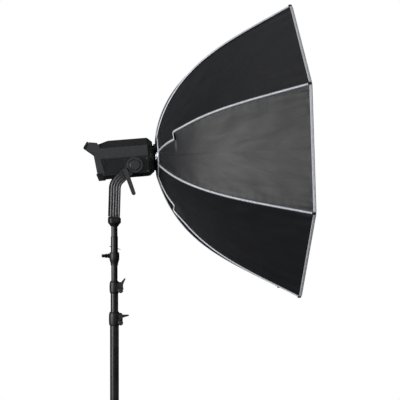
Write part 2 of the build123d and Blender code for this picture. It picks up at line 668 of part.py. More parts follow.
with BuildPart() as heat_sink:
    with BuildSketch(lamp_cross(38, OPTIC_HEIGHT)):
        Rectangle(136, 104)
    extrude(amount=10.5)
    with BuildSketch(lamp_cross(-62, OPTIC_HEIGHT)):
        with GridLocations(11, 1, 13, 1):
            Rectangle(3, 104)
    extrude(amount=101)
save(heat_sink, "heat_sink")

# ---------------------------------------------------------------- the cooling fan
FAN_BACK, FAN_DEPTH, FAN_BORE = -98.0, 25.0, 44.0
with BuildPart() as fan_frame:
    with BuildSketch(lamp_cross(FAN_BACK, OPTIC_HEIGHT)):
        RectangleRounded(96, 96, 6)
        Circle(FAN_BORE, mode=Mode.SUBTRACT)
        with GridLocations(84, 84, 2, 2):
            Circle(2.2, mode=Mode.SUBTRACT)
    extrude(amount=FAN_DEPTH)
    with BuildSketch(lamp_cross(FAN_BACK, OPTIC_HEIGHT)):
        Circle(16)
        Rectangle(94, 5)
        Rectangle(5, 94)
    extrude(amount=4)
save(fan_frame, "fan_frame")

with BuildPart() as fan_rotor:
    with BuildSketch(lamp_cross(FAN_BACK + 5, OPTIC_HEIGHT)):
        Circle(17)
    extrude(amount=18)
    fan_axis = PIVOT + LAMP_DIR * (FAN_BACK + 14) + LAMP_UP * OPTIC_HEIGHT
    for blade in range(7):
        turn = radians(blade * 360 / 7)
        outward = Y_AXIS * cos(turn) + LAMP_UP * sin(turn)
        pitch = LAMP_DIR.rotate(Axis((0, 0, 0), outward), 42)
        with BuildSketch(Plane(origin=fan_axis + outward * 14, x_dir=pitch, z_dir=outward)):
            Rectangle(17, 1.8)
        extrude(amount=27)
save(fan_rotor, "fan_rotor")

# Turned pivots carry the casing in the yoke's knuckles.
with BuildPart() as tilt_bolts:
    for side in (-1, 1):
        for radius, start, end in ((22, LAMP_HALF_WIDTH + 0.1, YOKE_IN - 0.3), (TILT_BOLT_R, 90, YOKE_OUT - 0.3)):
            with BuildSketch(Plane(origin=PIVOT + Y_AXIS * side * start, x_dir=X_AXIS, z_dir=Y_AXIS * side)):
                Circle(radius)
            extrude(amount=end - start)
save(tilt_bolts, "tilt_bolts")

# Domed screws hold the casing halves together, three a side.
with BuildPart() as housing_screws:
    for side in (-1, 1):
        base = lamp_side(side * (LAMP_HALF_WIDTH + 0.1))
        with BuildSketch(base):
            with Locations((50, 22), (50, -26), (-30, -33)):
                Circle(3.2)
                RegularPolygon(1.4, 6, mode=Mode.SUBTRACT)
        extrude(amount=-side * 1.8)
save(housing_screws, "housing_screws")

# ---------------------------------------------------------------- speed ring and latch
rib_angles = [HALF_GORE + 360 / RIBS * k for k in range(RIBS)]
with BuildPart() as speed_ring:
    with BuildSketch(box_radial(90)):
        with BuildLine():
            Polyline((82, 49), (82, 52), (91, 52), (91, 75), (93, 77), (95, 77), (96, 76), (96, 49), close=True)
        make_face()
    revolve(axis=Axis(BOX_ORIGIN, BOX_DIR))
    for angle in rib_angles:
        for sideways in (3.3, -6.3):
            with BuildSketch(box_radial(angle, sideways)):
                with Locations((95.6, 61)):
                    Rectangle(1, 12)
                with Locations(RIB_PIVOT):
                    Circle(6)
                make_hull()
            extrude(amount=3)
        with BuildSketch(box_radial(angle)):
            with Locations(RIB_PIVOT):
                Circle(RIB_PIN_R + FIT)
        extrude(amount=10, both=True, mode=Mode.SUBTRACT)
    with BuildSketch(box_cross(90)):
        with Locations((-LATCH_R, 0)):
            Circle(2 + FIT)
    extrude(amount=10, mode=Mode.SUBTRACT)
save(speed_ring, "speed_ring")

# A sprung thumb latch on the near side of the speed ring locks the bayonet.
with BuildPart() as bayonet_latch:
    with BuildSketch(box_cross(83.5)):
        with Locations((-LATCH_R, 0)):
            RectangleRounded(18, 30, 6)
    extrude(amount=7)
    fillet(bayonet_latch.faces().sort_by(Axis(BOX_ORIGIN, BOX_DIR))[0].edges(), radius=1.5)
    with BuildSketch(box_cross(90)):
        with Locations((-LATCH_R, 0)):
            Circle(2)
    extrude(amount=6.5)
save(bayonet_latch, "bayonet_latch")

with BuildPart() as rib_pins:
    for angle in rib_angles:
        with BuildSketch(box_radial(angle)):
            with Locations(RIB_PIVOT):
                Circle(RIB_PIN_R)
        extrude(amount=7.5, both=True)
save(rib_pins, "rib_pins")


# ---------------------------------------------------------------- folding ribs
def rib(angle):
    """A bowed rod with a hinge eye at its root and a round tip."""
    with BuildPart() as piece:
        with BuildLine(box_radial(angle)) as route:
            FilletPolyline(*ROD_PATH, radius=ROD_RADII)
        with BuildSketch(Plane(origin=route.line @ 0, z_dir=route.line % 0)):
            Circle(ROD_R)
        sweep(path=route.line)
        with Locations(route.line @ 1):
            Sphere(ROD_R + 1.5)
        with BuildSketch(box_radial(angle)):
            with Locations(RIB_PIVOT):
                Circle(5)
        extrude(amount=3, both=True)
        with BuildSketch(box_radial(angle)):
            with Locations(RIB_PIVOT):
                Circle(RIB_PIN_R + FIT)
        extrude(amount=3.5, both=True, mode=Mode.SUBTRACT)
    return piece


for number, angle in enumerate(rib_angles, start=1):
    save(rib(angle), f"rib_{number}")


# ---------------------------------------------------------------- fabric parts
def gore(angle):
    """One of the canopy's eight panels: the rib profile seen flat on, between two ribs."""
    flat = cos(radians(HALF_GORE))
    with BuildPart() as piece:
        with BuildSketch(box_radial(angle)):
            with BuildLine():
                FilletPolyline(*((depth, radius * flat) for depth, radius in RIB_PROFILE), radius=RIB_PROFILE_RADII)
            trace(line_width=FABRIC)
        extrude(amount=RIM_R, both=True)
        with BuildSketch(box_cross(0)):
            spread = [radians(angle - HALF_GORE), radians(angle + HALF_GORE)]
            Polygon((0, 0), *((2 * RIM_R * cos(a), 2 * RIM_R * sin(a)) for a in spread), align=None)
        extrude(amount=2 * RIM_DEPTH, mode=Mode.INTERSECT)
    return piece.part


gores = [gore(360 / RIBS * k) for k in range(RIBS)]
with BuildPart() as canopy:
    for panel in gores:
        add(panel)
save(canopy, "canopy")

# Piping is sewn along every rib seam, and a flat band round the rim.
PIPING_R, PIPING_STAND = 2.4, (-3.2, 3.9)
PIPING_ROUTE = [(depth + PIPING_STAND[0], radius + PIPING_STAND[1]) for depth, radius in RIB_PROFILE[:-1]]
PIPING_ROUTE.append((590, 594.7))
with BuildPart() as canopy_piping:
    for angle in rib_angles:
        with BuildLine(box_radial(angle)) as route:
            FilletPolyline(*PIPING_ROUTE, radius=RIB_PROFILE_RADII)
        with BuildSketch(Plane(origin=route.line @ 0, z_dir=route.line % 0)):
            Circle(PIPING_R)
        sweep(path=route.line)
    with BuildSketch(box_cross(RIM_DEPTH - 13)):
        RegularPolygon(RIM_R + 5, RIBS, rotation=HALF_GORE)
        RegularPolygon(RIM_R + 2, RIBS, rotation=HALF_GORE, mode=Mode.SUBTRACT)
    extrude(amount=12)
save(canopy_piping, "canopy_piping")


def octagon_sheet(depth, radius, thickness):
    """A flat eight-sided cloth across the softbox's axis."""
    with BuildPart() as piece:
        with BuildSketch(box_cross(depth)):
            RegularPolygon(radius, RIBS, rotation=HALF_GORE)
        extrude(amount=thickness)
    return piece


save(octagon_sheet(RIM_DEPTH + 3, RIM_R, 2), "front_diffuser")
save(octagon_sheet(BAFFLE_DEPTH, BAFFLE_R, 2), "inner_baffle")
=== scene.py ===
import json
from math import cos, pi, radians, sin
import bmesh
import bpy
import numpy as np
from bpy.props import FloatProperty, FloatVectorProperty, IntProperty, PointerProperty
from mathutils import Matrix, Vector

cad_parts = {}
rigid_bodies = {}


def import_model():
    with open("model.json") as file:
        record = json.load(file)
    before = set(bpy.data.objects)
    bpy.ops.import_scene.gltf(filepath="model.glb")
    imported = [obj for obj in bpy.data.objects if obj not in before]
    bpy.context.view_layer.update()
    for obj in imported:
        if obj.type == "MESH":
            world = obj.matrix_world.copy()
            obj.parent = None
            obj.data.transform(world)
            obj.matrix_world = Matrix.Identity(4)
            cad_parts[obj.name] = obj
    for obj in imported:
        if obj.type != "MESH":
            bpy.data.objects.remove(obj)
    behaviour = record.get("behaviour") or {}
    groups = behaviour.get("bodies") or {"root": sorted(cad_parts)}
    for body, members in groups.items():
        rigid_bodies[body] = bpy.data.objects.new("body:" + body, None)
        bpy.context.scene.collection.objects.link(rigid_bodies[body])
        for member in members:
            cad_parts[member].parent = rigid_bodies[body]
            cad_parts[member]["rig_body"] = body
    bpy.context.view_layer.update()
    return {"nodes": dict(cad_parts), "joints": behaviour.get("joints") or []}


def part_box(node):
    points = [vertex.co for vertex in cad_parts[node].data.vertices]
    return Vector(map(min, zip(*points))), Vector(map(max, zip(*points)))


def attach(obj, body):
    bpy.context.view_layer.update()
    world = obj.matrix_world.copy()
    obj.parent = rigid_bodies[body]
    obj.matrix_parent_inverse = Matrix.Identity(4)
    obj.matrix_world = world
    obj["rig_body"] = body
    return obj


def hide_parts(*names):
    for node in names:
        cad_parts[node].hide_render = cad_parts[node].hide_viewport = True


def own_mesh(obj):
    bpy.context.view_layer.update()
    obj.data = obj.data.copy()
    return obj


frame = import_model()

bl_info = {
    "name": "Octagonal Studio Softbox",
    "version": (1, 0, 0),
    "blender": (4, 5, 0),
    "location": "3D View > Sidebar > Softbox",
    "description": "Cloth, seams, moulded edges and finishes for a softbox on its lamp head and stand",
    "category": "Object",
}

# ------------------------------------------------------------------ places read from the frame
JOINTS = {joint["name"]: joint for joint in frame["joints"]}
RIBS = 8
GORE = 2 * pi / RIBS
ACROSS = np.array((0.0, 1.0, 0.0))      # level, across the light's direction
TILT_AXIS = np.array(JOINTS["head_tilt"]["pos_m"])


def unit(vector):
    """The vector, or each vector of an array, divided by its length."""
    vector = np.asarray(vector, float)
    return vector / np.linalg.norm(vector, axis=-1, keepdims=True)


def reach_along(curve):
    """The length of a curve from its first point up to each of its points."""
    return np.concatenate([[0], np.cumsum(np.linalg.norm(np.diff(curve, axis=0), axis=1))])


BOX_DIR = unit(JOINTS["bayonet_turn"]["axis"])
BOX_UP = np.cross(BOX_DIR, ACROSS)
BOX_AXIS_POINT = np.array(JOINTS["bayonet_turn"]["pos_m"])
BOX_ORIGIN = BOX_AXIS_POINT + BOX_DIR * np.dot(TILT_AXIS - BOX_AXIS_POINT, BOX_DIR)
RIB_ANGLES = [GORE * (k + 0.5) for k in range(RIBS)]
STEPPED_RIBS = (4, 6)                   # their elbows show through the cloth
DRIFTING_RIB = 4


def outward(angle):
    """The direction away from the softbox's axis at an angle measured from +Y towards its up."""
    return ACROSS * cos(angle) + BOX_UP * sin(angle)


def tangent(angle):
    """The direction round the softbox's axis at an angle, square to outward(angle)."""
    return np.cross(BOX_DIR, outward(angle))


def box_point(angle, depth, radius, sideways=0.0):
    """Origin + depth along the axis + radius outward + sideways round the axis, for whole arrays."""
    places = (np.asarray(place, float) for place in (depth, radius, sideways))
    depth, radius, sideways = np.broadcast_arrays(*places)
    return (BOX_ORIGIN + depth[..., None] * BOX_DIR + radius[..., None] * outward(angle)
            + sideways[..., None] * tangent(angle))


def node_points(name):
    """All vertices of a CAD node, in metres in the row frame."""
    mesh = frame["nodes"][name].data
    points = np.empty(len(mesh.vertices) * 3, np.float32)
    mesh.vertices.foreach_get("co", points)
    return points.reshape(-1, 3).astype(float)


def depth_and_radius(name):
    """Each vertex's depth along the softbox's axis and its distance from that axis."""
    offset = node_points(name) - BOX_ORIGIN
    depth = offset @ BOX_DIR
    return depth, np.linalg.norm(offset - depth[:, None] * BOX_DIR, axis=1)


CANOPY_DEPTHS, CANOPY_RADII = depth_and_radius("canopy")
RIM_INSET = 0.0035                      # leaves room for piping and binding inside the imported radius
RIM_DEPTH, RIM_R = CANOPY_DEPTHS.max(), CANOPY_RADII.max() - RIM_INSET
HUB_DEPTH, HUB_R = CANOPY_DEPTHS.min(), CANOPY_RADII.min()
DIFFUSER_DEPTHS, DIFFUSER_RADII = depth_and_radius("front_diffuser")
BAFFLE_DEPTHS, BAFFLE_RADII = depth_and_radius("inner_baffle")


# ------------------------------------------------------------------ sizes and colours a user may change
def length(name, description, default):
    """A size in metres."""
    return FloatProperty(name=name, description=description, default=default, unit="LENGTH")


def colour(name, description, default):
    """A colour as linear red, green and blue from 0 to 1."""
    return FloatVectorProperty(name=name, description=description, default=default, size=3,
                               subtype="COLOR", min=0, max=1)


class SoftboxShape(bpy.types.PropertyGroup):
    """Sizes of the cloth parts."""

    elbow: length("Elbow", "Length of seam from the hub to the step over a rib's elbow", 0.146)
    step: length("Step", "Half the height of the step over an elbow", 0.0065)
    drift: length("Seam drift", "How far the drifting seam wanders sideways below its elbow", 0.021)
    rise: length("Rise", "How far the topmost ribs bow out beyond the lower ones", 0.013)
    sag: length("Sag", "How far the middle of a gore is drawn in by its tension", 0.010)
    cloth: length("Cloth thickness", "Thickness of the canopy's cloth", 0.0012)
    piping: length("Piping radius", "Radius of the piping along each rib", 0.0036)
    band: length("Rim band", "Width of the binding round the rim", 0.0095)
    lip: length("Front lip", "Width of the black border of the front", 0.022)
    seam: length("Seam allowance", "Distance of the stitching from a rib", 0.009)


class ClothColours(bpy.types.PropertyGroup):
    """Colours of the cloth parts."""

    canopy: colour("Canopy", "Outer face of the canopy", (0.0062, 0.0065, 0.0080))
    lining: colour("Lining", "Silver inner face of the canopy", (0.62, 0.63, 0.65))
    piping: colour("Piping", "Woven piping on the ribs", (0.86, 0.89, 0.95))
    band: colour("Rim band", "Reflective binding round the rim", (0.93, 0.94, 1.0))
    diffuser: colour("Diffuser", "White diffusion cloth", (0.80, 0.81, 0.83))


class StageSettings(bpy.types.PropertyGroup):
    """Camera, light and floor."""

    camera_offset: FloatVectorProperty(
        name="Camera offset", description="Camera place from the middle of the tilt axis",
        default=(-0.2153, -4.5683, -0.0920), size=3, subtype="TRANSLATION", unit="LENGTH")
    camera_yaw: FloatProperty(
        name="Camera yaw", description="Turn of the view towards the front of the softbox",
        default=radians(5.993), unit="ROTATION")
    camera_pitch: FloatProperty(
        name="Camera pitch", description="How far the view looks up", default=radians(-0.555),
        unit="ROTATION")
    lens: FloatProperty(
        name="Lens", description="Focal length on a 36 mm sensor, in millimetres", default=104.13)
    floor_radius: length("Floor radius", "Radius of the round floor", 3.6)
    backdrop: FloatProperty(
        name="Backdrop level", description="Brightness of the surround as seen directly", default=1.0)
    ambience: FloatProperty(
        name="Ambience", description="Strength of the light from the surround", default=0.05)
    floor_glow: FloatProperty(
        name="Floor glow", description="Even light that the floor is seen to give back", default=0.45)
    floor_sides: IntProperty(
        name="Floor sides", description="Sides of the round floor", default=96, min=12)


# ------------------------------------------------------------------ meshes from whole arrays
def grid_faces(rows, columns, start=0, flip=False, wrap=False):
    """Quads joining a grid's neighbours; wrap also joins the last column to the first."""
    across = columns if wrap else columns - 1
    row, column = np.meshgrid(np.arange(rows - 1), np.arange(across), indexing="ij")
    after = (column + 1) % columns
    faces = np.stack([row * columns + column, row * columns + after,
                      (row + 1) * columns + after, (row + 1) * columns + column], axis=-1)
    faces = faces.reshape(-1, 4) + start
    return faces[:, ::-1] if flip else faces


SHARP_EDGE = radians(35)


def make_piece(name, points, faces, materials, uv=None, material_index=None):
    """A smooth piece from arrays of points and faces, with uv per point and its sharp edges kept."""
    mesh = bpy.data.meshes.new(name)
    mesh.from_pydata(np.asarray(points).tolist(), [], [list(map(int, face)) for face in faces])
    for material in materials:
        mesh.materials.append(material)
    if material_index is not None:
        mesh.polygons.foreach_set("material_index", np.asarray(material_index, np.int32))
    if uv is not None:
        corner = np.empty(len(mesh.loops), np.int32)
        mesh.loops.foreach_get("vertex_index", corner)
        layer = mesh.uv_layers.new(name="Cut")
        layer.data.foreach_set("uv", np.asarray(uv, np.float32)[corner].ravel())
    mesh.polygons.foreach_set("use_smooth", np.ones(len(mesh.polygons), bool))
    mesh.update()
    mesh.set_sharp_from_angle(angle=SHARP_EDGE)
    mesh.validate()
    piece = bpy.data.objects.new(name, mesh)
    bpy.context.scene.collection.objects.link(piece)
    return piece


def grid_normals(grid):
    """Unit normals of a grid of points: the cross product of its two central differences."""
    down = np.gradient(grid, axis=0)
    along = np.gradient(grid, axis=1)
    normal = np.cross(along, down)
    return normal / np.maximum(np.linalg.norm(normal, axis=-1, keepdims=True), 1e-12)


def cloth_sheet(name, grid, thickness, materials, uv, inner_material=0, normals=None):
    """A closed sheet: the grid, the same grid moved by -thickness along its normals, and a rim of quads.
    Normals that are given are also the ones it is shaded with, so that neighbouring sheets run on."""
    rows, columns = grid.shape[:2]
    count = rows * columns
    shaded = normals is not None
    normals = normals if shaded else grid_normals(grid)
    inner = grid - normals * thickness
    points = np.concatenate([grid.reshape(-1, 3), inner.reshape(-1, 3)])
    index = np.arange(count).reshape(rows, columns)
    rim = np.concatenate([index[0, :-1], index[:-1, -1], index[-1, :0:-1], index[:0:-1, 0]])
    after = np.roll(rim, -1)
    rim_faces = np.stack([rim, rim + count, after + count, after], axis=-1)
    front = grid_faces(rows, columns)
    back = grid_faces(rows, columns, count, flip=True)
    faces = np.concatenate([front, back, rim_faces])
    chosen = np.repeat([0, inner_material, 0], [len(front), len(back), len(rim_faces)])
    uv = np.concatenate([uv.reshape(-1, 2), uv.reshape(-1, 2)])
    piece = facing_out(make_piece(name, points, faces, materials, uv, chosen))
    if shaded:
        flat = normals.reshape(-1, 3)
        piece.data.normals_split_custom_set_from_vertices(np.concatenate([flat, -flat]).tolist())
    return piece


def facing_out(piece):
    """Turns every face of a closed mesh outwards."""
    work = bmesh.new()
    work.from_mesh(piece.data)
    bmesh.ops.recalc_face_normals(work, faces=work.faces)
    work.to_mesh(piece.data)
    work.free()
    return piece


def swept(name, path, side, section, materials, closed=False, end_scale=1.0, finish_by_column=None):
    """A section carried along a path: point = path + x * side + y * (side x direction of the path)."""
    path, section = np.asarray(path, float), np.asarray(section, float)
    if closed:
        along = np.roll(path, -1, axis=0) - np.roll(path, 1, axis=0)
    else:
        along = np.gradient(path, axis=0)
    along = unit(along)
    side = np.broadcast_to(side, path.shape)
    side = unit(side - (side * along).sum(1, keepdims=True) * along)
    up = np.cross(side, along)
    size = np.ones(len(path))
    if not closed:
        size[[0, -1]] = end_scale
    x, y = section[:, 0], section[:, 1]
    points = (path[:, None] + size[:, None, None] * (x[None, :, None] * side[:, None]
                                                     + y[None, :, None] * up[:, None]))
    rows, columns = points.shape[:2]
    uv = np.broadcast_arrays(reach_along(section)[None, :], reach_along(path)[:, None])
    uv = np.stack(uv, axis=-1).reshape(-1, 2)
    faces = (grid_faces(rows + closed, columns, wrap=True) % (rows * columns)).tolist()
    if not closed:
        faces.append(list(range(columns)))
        faces.append(list(range((rows - 1) * columns, rows * columns))[::-1])
    chosen = None
    if finish_by_column is not None:
        chosen = np.zeros(len(faces))
        chosen[:(rows - 1) * columns] = np.tile(finish_by_column, rows - 1)
    return facing_out(make_piece(name, points.reshape(-1, 3), faces, materials, uv, chosen))


def oval(width, height, power=2.0, count=16):
    """A superellipse |2x/width|^power + |2y/height|^power = 1, as points in order."""
    turn = np.linspace(0, 2 * pi, count, endpoint=False)
    x, y = np.cos(turn), np.sin(turn)
    return np.stack([width / 2 * np.sign(x) * np.abs(x) ** (2 / power),
                     height / 2 * np.sign(y) * np.abs(y) ** (2 / power)], axis=-1)


def fan(ring, middle):
    """Triangles from each side of a closed ring of points to one middle point."""
    return [[int(a), int(b), middle] for a, b in zip(ring, np.roll(ring, -1))]


def rounded_lump(name, centre, axes, size, power, materials, rows=20, columns=32):
    """A superellipsoid: the oval formula applied to latitude and to longitude, on three axes."""
    latitude = np.linspace(-pi / 2, pi / 2, rows)[1:-1, None]
    longitude = np.linspace(0, 2 * pi, columns, endpoint=False)[None, :]

    def bent(value):
        """The value's sign times its size to the power 2 / power."""
        return np.sign(value) * np.abs(value) ** (2 / power)

    x = bent(np.cos(latitude)) * bent(np.cos(longitude))
    y = bent(np.cos(latitude)) * bent(np.sin(longitude))
    z = bent(np.sin(latitude)) * np.ones_like(longitude)
    local = np.stack([x, y, z], axis=-1).reshape(-1, 3)
    local = np.concatenate([local, [(0, 0, -1), (0, 0, 1)]]) * (np.asarray(size) / 2)
    south, north = len(local) - 2, len(local) - 1
    first = np.arange(columns)
    last = first + (rows - 3) * columns
    faces = grid_faces(rows - 2, columns, wrap=True).tolist()
    faces += fan(first, south) + fan(last[::-1], north)
    return facing_out(make_piece(name, centre + local @ np.asarray(axes), faces, materials))


def bezier(start, pull_out, pull_in, end, count):
    """Cubic Bezier: (1-t)^3 a + 3(1-t)^2 t b + 3(1-t) t^2 c + t^3 d."""
    t = np.linspace(0, 1, count)[:, None]
    a, b, c, d = (np.asarray(point, float) for point in (start, pull_out, pull_in, end))
    return (1 - t) ** 3 * a + 3 * (1 - t) ** 2 * t * b + 3 * (1 - t) * t ** 2 * c + t ** 3 * d


def evenly(curve, count):
    """The curve's points again, spaced evenly along its length."""
    reach = reach_along(curve)
    spots = np.linspace(0, reach[-1], count)
    return np.stack([np.interp(spots, reach, axis) for axis in curve.T], axis=-1), spots


# ------------------------------------------------------------------ finishes
class Recipe:
    """The node tree of one material, with short ways to add nodes and join them."""

    def __init__(self, name, colour, roughness, **sockets):
        self.material = bpy.data.materials.new(name)
        self.material.use_nodes = True
        self.tree = self.material.node_tree
        self.shader = self.tree.nodes["Principled BSDF"]
        self.colour = (*colour[:3], 1.0)
        self.roughness = roughness
        self.shader.inputs["Base Color"].default_value = self.colour
        self.shader.inputs["Roughness"].default_value = roughness
        for socket, value in sockets.items():
            self.shader.inputs[socket.replace("_", " ")].default_value = value
        self.bumps = None

    def node(self, kind, inputs=None, **settings):
        """A node with its settings and its inputs, where an input may be a value or another output."""
        made = self.tree.nodes.new(kind)
        for setting, value in settings.items():
            setattr(made, setting, value)
        for socket, value in (inputs or {}).items():
            if isinstance(value, bpy.types.NodeSocket):
                self.tree.links.new(value, made.inputs[socket])
            else:
                made.inputs[socket].default_value = value
        return made

    def place(self, scale=(1, 1, 1), turn=(0, 0, 0), cut=False):
        """Object coordinates, or the cloth's own cut as UV in metres, scaled and turned."""
        source = self.node("ShaderNodeTexCoord").outputs["UV" if cut else "Object"]
        inputs = {"Vector": source, "Scale": scale, "Rotation": turn}
        return self.node("ShaderNodeMapping", inputs).outputs[0]

    def noise(self, scale, detail=3.0, at=None, **inputs):
        """Noise from 0 to 1 at so many grains a metre."""
        settings = {"Vector": at or self.place(), "Scale": scale, "Detail": detail}
        return self.node("ShaderNodeTexNoise", {**settings, **inputs}).outputs[0]

    def waves(self, at, scale, direction="X", distortion=0.0):
        """Sine bands across a direction."""
        inputs = {"Vector": at, "Scale": scale, "Distortion": distortion}
        return self.node("ShaderNodeTexWave", inputs, bands_direction=direction).outputs[1]

    def math(self, operation, first, second=0.0, third=0.5):
        """One sum on two values or outputs, or on three where the operation takes three."""
        inputs = {0: first, 1: second, 2: third}
        return self.node("ShaderNodeMath", inputs, operation=operation).outputs[0]

    def ramp(self, value, low, high, start=0.0, end=1.0):
        """The value stretched from low..high to start..end, and held at the ends."""
        inputs = {"Value": value, "From Min": low, "From Max": high, "To Min": start, "To Max": end}
        return self.node("ShaderNodeMapRange", inputs).outputs[0]

    def tint(self, factor, colour, strength=1.0):
        """Mixes a colour over what the base colour has so far."""
        factor = self.math("MULTIPLY", factor, strength)
        socket = self.shader.inputs["Base Color"]
        mix = self.node("ShaderNodeMix", {0: factor}, data_type="RGBA")
        if socket.is_linked:
            self.tree.links.new(socket.links[0].from_socket, mix.inputs[6])
        else:
            mix.inputs[6].default_value = self.colour
        mix.inputs[7].default_value = (*colour[:3], 1.0)
        self.tree.links.new(mix.outputs[2], socket)

    def shade(self, factor, amount):
        """Lightens or darkens the base colour by up to amount as the factor goes from 0 to 1."""
        lighter = tuple(min(1.0, c * (1 + amount)) for c in self.colour[:3])
        self.tint(factor, lighter)

    def rough(self, factor, low, high):
        """Roughness from low to high as the factor goes from 0 to 1."""
        self.tree.links.new(self.ramp(factor, 0, 1, low, high), self.shader.inputs["Roughness"])

    def bump(self, height, metres, strength=1.0):
        """Adds relief of so many metres on top of the relief so far."""
        inputs = {"Height": height, "Distance": metres, "Strength": strength}
        if self.bumps is not None:
            inputs["Normal"] = self.bumps
        self.bumps = self.node("ShaderNodeBump", inputs).outputs[0]
        self.tree.links.new(self.bumps, self.shader.inputs["Normal"])

    def weave(self, cut, threads, relief):
        """A plain weave in relief: the product of two crossed sets of waves, so many to a metre."""
        weft, warp = self.waves(cut, threads, "X"), self.waves(cut, threads, "Y")
        self.bump(self.math("MULTIPLY", weft, warp), relief)


def powder_coat(name, colour, roughness=0.42, grain=900, relief=0.000015, scuffs=0.10):
    """Baked paint: a fine orange-peel relief, cloudy gloss and a few pale scuffs."""
    recipe = Recipe(name, colour, roughness, Specular_IOR_Level=0.5)
    recipe.bump(recipe.noise(grain, 2.0), relief)
    cloud = recipe.noise(14, 4.0)
    recipe.rough(recipe.ramp(cloud, 0.35, 0.7), roughness - 0.06, roughness + 0.10)
    recipe.shade(recipe.ramp(cloud, 0.4, 0.65), 0.25)
    scratch = recipe.noise(1.0, 6.0, at=recipe.place(scale=(260, 260, 22)))
    recipe.tint(recipe.ramp(scratch, 0.66, 0.74), (0.16, 0.16, 0.165), scuffs)
    return recipe.material


def moulded(name, colour, roughness=0.5, grain=1400, relief=0.00002, speckle=None, speckle_share=0.5):
    """Textured moulding: spark-eroded grain, cloudy gloss and, on covers, small pale specks."""
    recipe = Recipe(name, colour, roughness, Specular_IOR_Level=0.45)
    recipe.bump(recipe.noise(grain, 2.0), relief)
    cloud = recipe.noise(22, 3.0)
    recipe.rough(recipe.ramp(cloud, 0.35, 0.7), roughness - 0.05, roughness + 0.08)
    recipe.shade(recipe.ramp(cloud, 0.4, 0.62), 0.16)
    if speckle:
        pale = recipe.noise(520, 1.0)
        recipe.tint(recipe.ramp(pale, 0.57, 0.66), speckle, speckle_share)
        dark = recipe.noise(430, 1.0, at=recipe.place(turn=(0.4, 0.2, 0.7)))
        recipe.tint(recipe.ramp(dark, 0.60, 0.68), tuple(c * 0.4 for c in colour), 0.6)
    return recipe.material


def machined(name, colour, roughness=0.28, scale=(40, 40, 1400), metal=1.0):
    """Turned or drawn metal: fine streaks in one direction, in both relief and gloss."""
    recipe = Recipe(name, colour, roughness, Metallic=metal)
    streak = recipe.noise(1.0, 3.0, at=recipe.place(scale=scale))
    recipe.bump(streak, 0.000006)
    recipe.rough(streak, roughness - 0.06, roughness + 0.08)
    recipe.shade(recipe.noise(60, 3.0), -0.25)
    return recipe.material


def rubber(name, colour):
    """Soft-touch rubber: matt, finely pitted, dusty where the noise is high."""
    recipe = Recipe(name, colour, 0.78, Specular_IOR_Level=0.3)
    recipe.bump(recipe.noise(1100, 3.0), 0.00005)
    recipe.tint(recipe.ramp(recipe.noise(35, 5.0), 0.55, 0.8), (0.07, 0.068, 0.065), 0.5)
    return recipe.material


def canopy_nylon(colours, shape):
    """Black woven nylon: crossed threads, soft creases, cloudy gloss and a stitched seam by the rib."""
    recipe = Recipe("canopy_nylon", colours.canopy, 0.44, Specular_IOR_Level=0.60, Sheen_Weight=0.02,
                    Sheen_Roughness=0.40, Sheen_Tint=(0.75, 0.80, 0.95, 1.0))
    cut = recipe.place(cut=True)
    recipe.weave(cut, 560, 0.00005)
    creases = recipe.noise(1.0, 5.0, at=recipe.place(scale=(26, 7, 1), cut=True), Distortion=0.6)
    recipe.bump(creases, 0.0012, 0.5)
    cloud = recipe.noise(9, 4.0, at=cut)
    recipe.shade(recipe.ramp(cloud, 0.35, 0.68), 0.30)
    recipe.rough(recipe.ramp(creases, 0.3, 0.7), 0.50, 0.58)
    sideways = recipe.math("ABSOLUTE", recipe.node("ShaderNodeSeparateXYZ", {0: cut}).outputs[0])
    thread_width, stitches = 0.0008, 55
    seam = recipe.math("COMPARE", sideways, shape.seam, thread_width)
    dashes = recipe.ramp(recipe.waves(cut, stitches, "Y"), 0.35, 0.45)
    thread = recipe.math("MULTIPLY", seam, dashes)
    recipe.tint(thread, (0.10, 0.105, 0.115), 0.8)
    recipe.bump(thread, 0.0004)
    hollow = recipe.ramp(sideways, shape.seam * 0.4, shape.seam * 1.3)
    recipe.bump(hollow, 0.0010)
    return recipe.material


def silver_lining(colours):
    """Metallised cloth on the inside: bright, slightly crinkled, woven."""
    recipe = Recipe("silver_lining", colours.lining, 0.34, Metallic=0.85)
    cut = recipe.place(cut=True)
    recipe.weave(cut, 420, 0.00012)
    recipe.bump(recipe.noise(75, 4.0, at=cut), 0.0012)
    recipe.rough(recipe.noise(30, 3.0, at=cut), 0.26, 0.44)
    return recipe.material


def woven_tape(name, colour, roughness=0.5, twill=210, metal=0.0):
    """Webbing or binding: slanting twill ridges and a little soiling."""
    recipe = Recipe(name, colour, roughness, Metallic=metal, Sheen_Weight=0.25, Sheen_Roughness=0.4)
    cut = recipe.place(turn=(0, 0, radians(38)), cut=True)
    ridges = recipe.waves(cut, twill, "X")
    recipe.bump(ridges, 0.00025)
    recipe.shade(ridges, -0.30)
    recipe.tint(recipe.ramp(recipe.noise(24, 5.0), 0.50, 0.75), tuple(c * 0.55 for c in colour), 0.45)
    return recipe.material


def diffusion_cloth(colours):
    """White diffusion nylon: a fine plain weave, faint slubs and hardly visible pulls."""
    recipe = Recipe("diffusion_cloth", colours.diffuser, 0.62, Sheen_Weight=0.3, Sheen_Roughness=0.5,
                    Subsurface_Weight=0.25, Subsurface_Scale=0.004)
    cut = recipe.place(cut=True)
    recipe.weave(cut, 480, 0.00010)
    recipe.bump(recipe.noise(1.0, 4.0, at=recipe.place(scale=(5, 14, 1), cut=True)), 0.0035, 0.6)
    recipe.shade(recipe.ramp(recipe.noise(12, 4.0, at=cut), 0.4, 0.7), -0.06)
    slubs = recipe.noise(1.0, 2.0, at=recipe.place(scale=(60, 900, 1), cut=True))
    recipe.tint(recipe.ramp(slubs, 0.62, 0.8), tuple(c * 0.86 for c in colours.diffuser), 0.5)
    return recipe.material


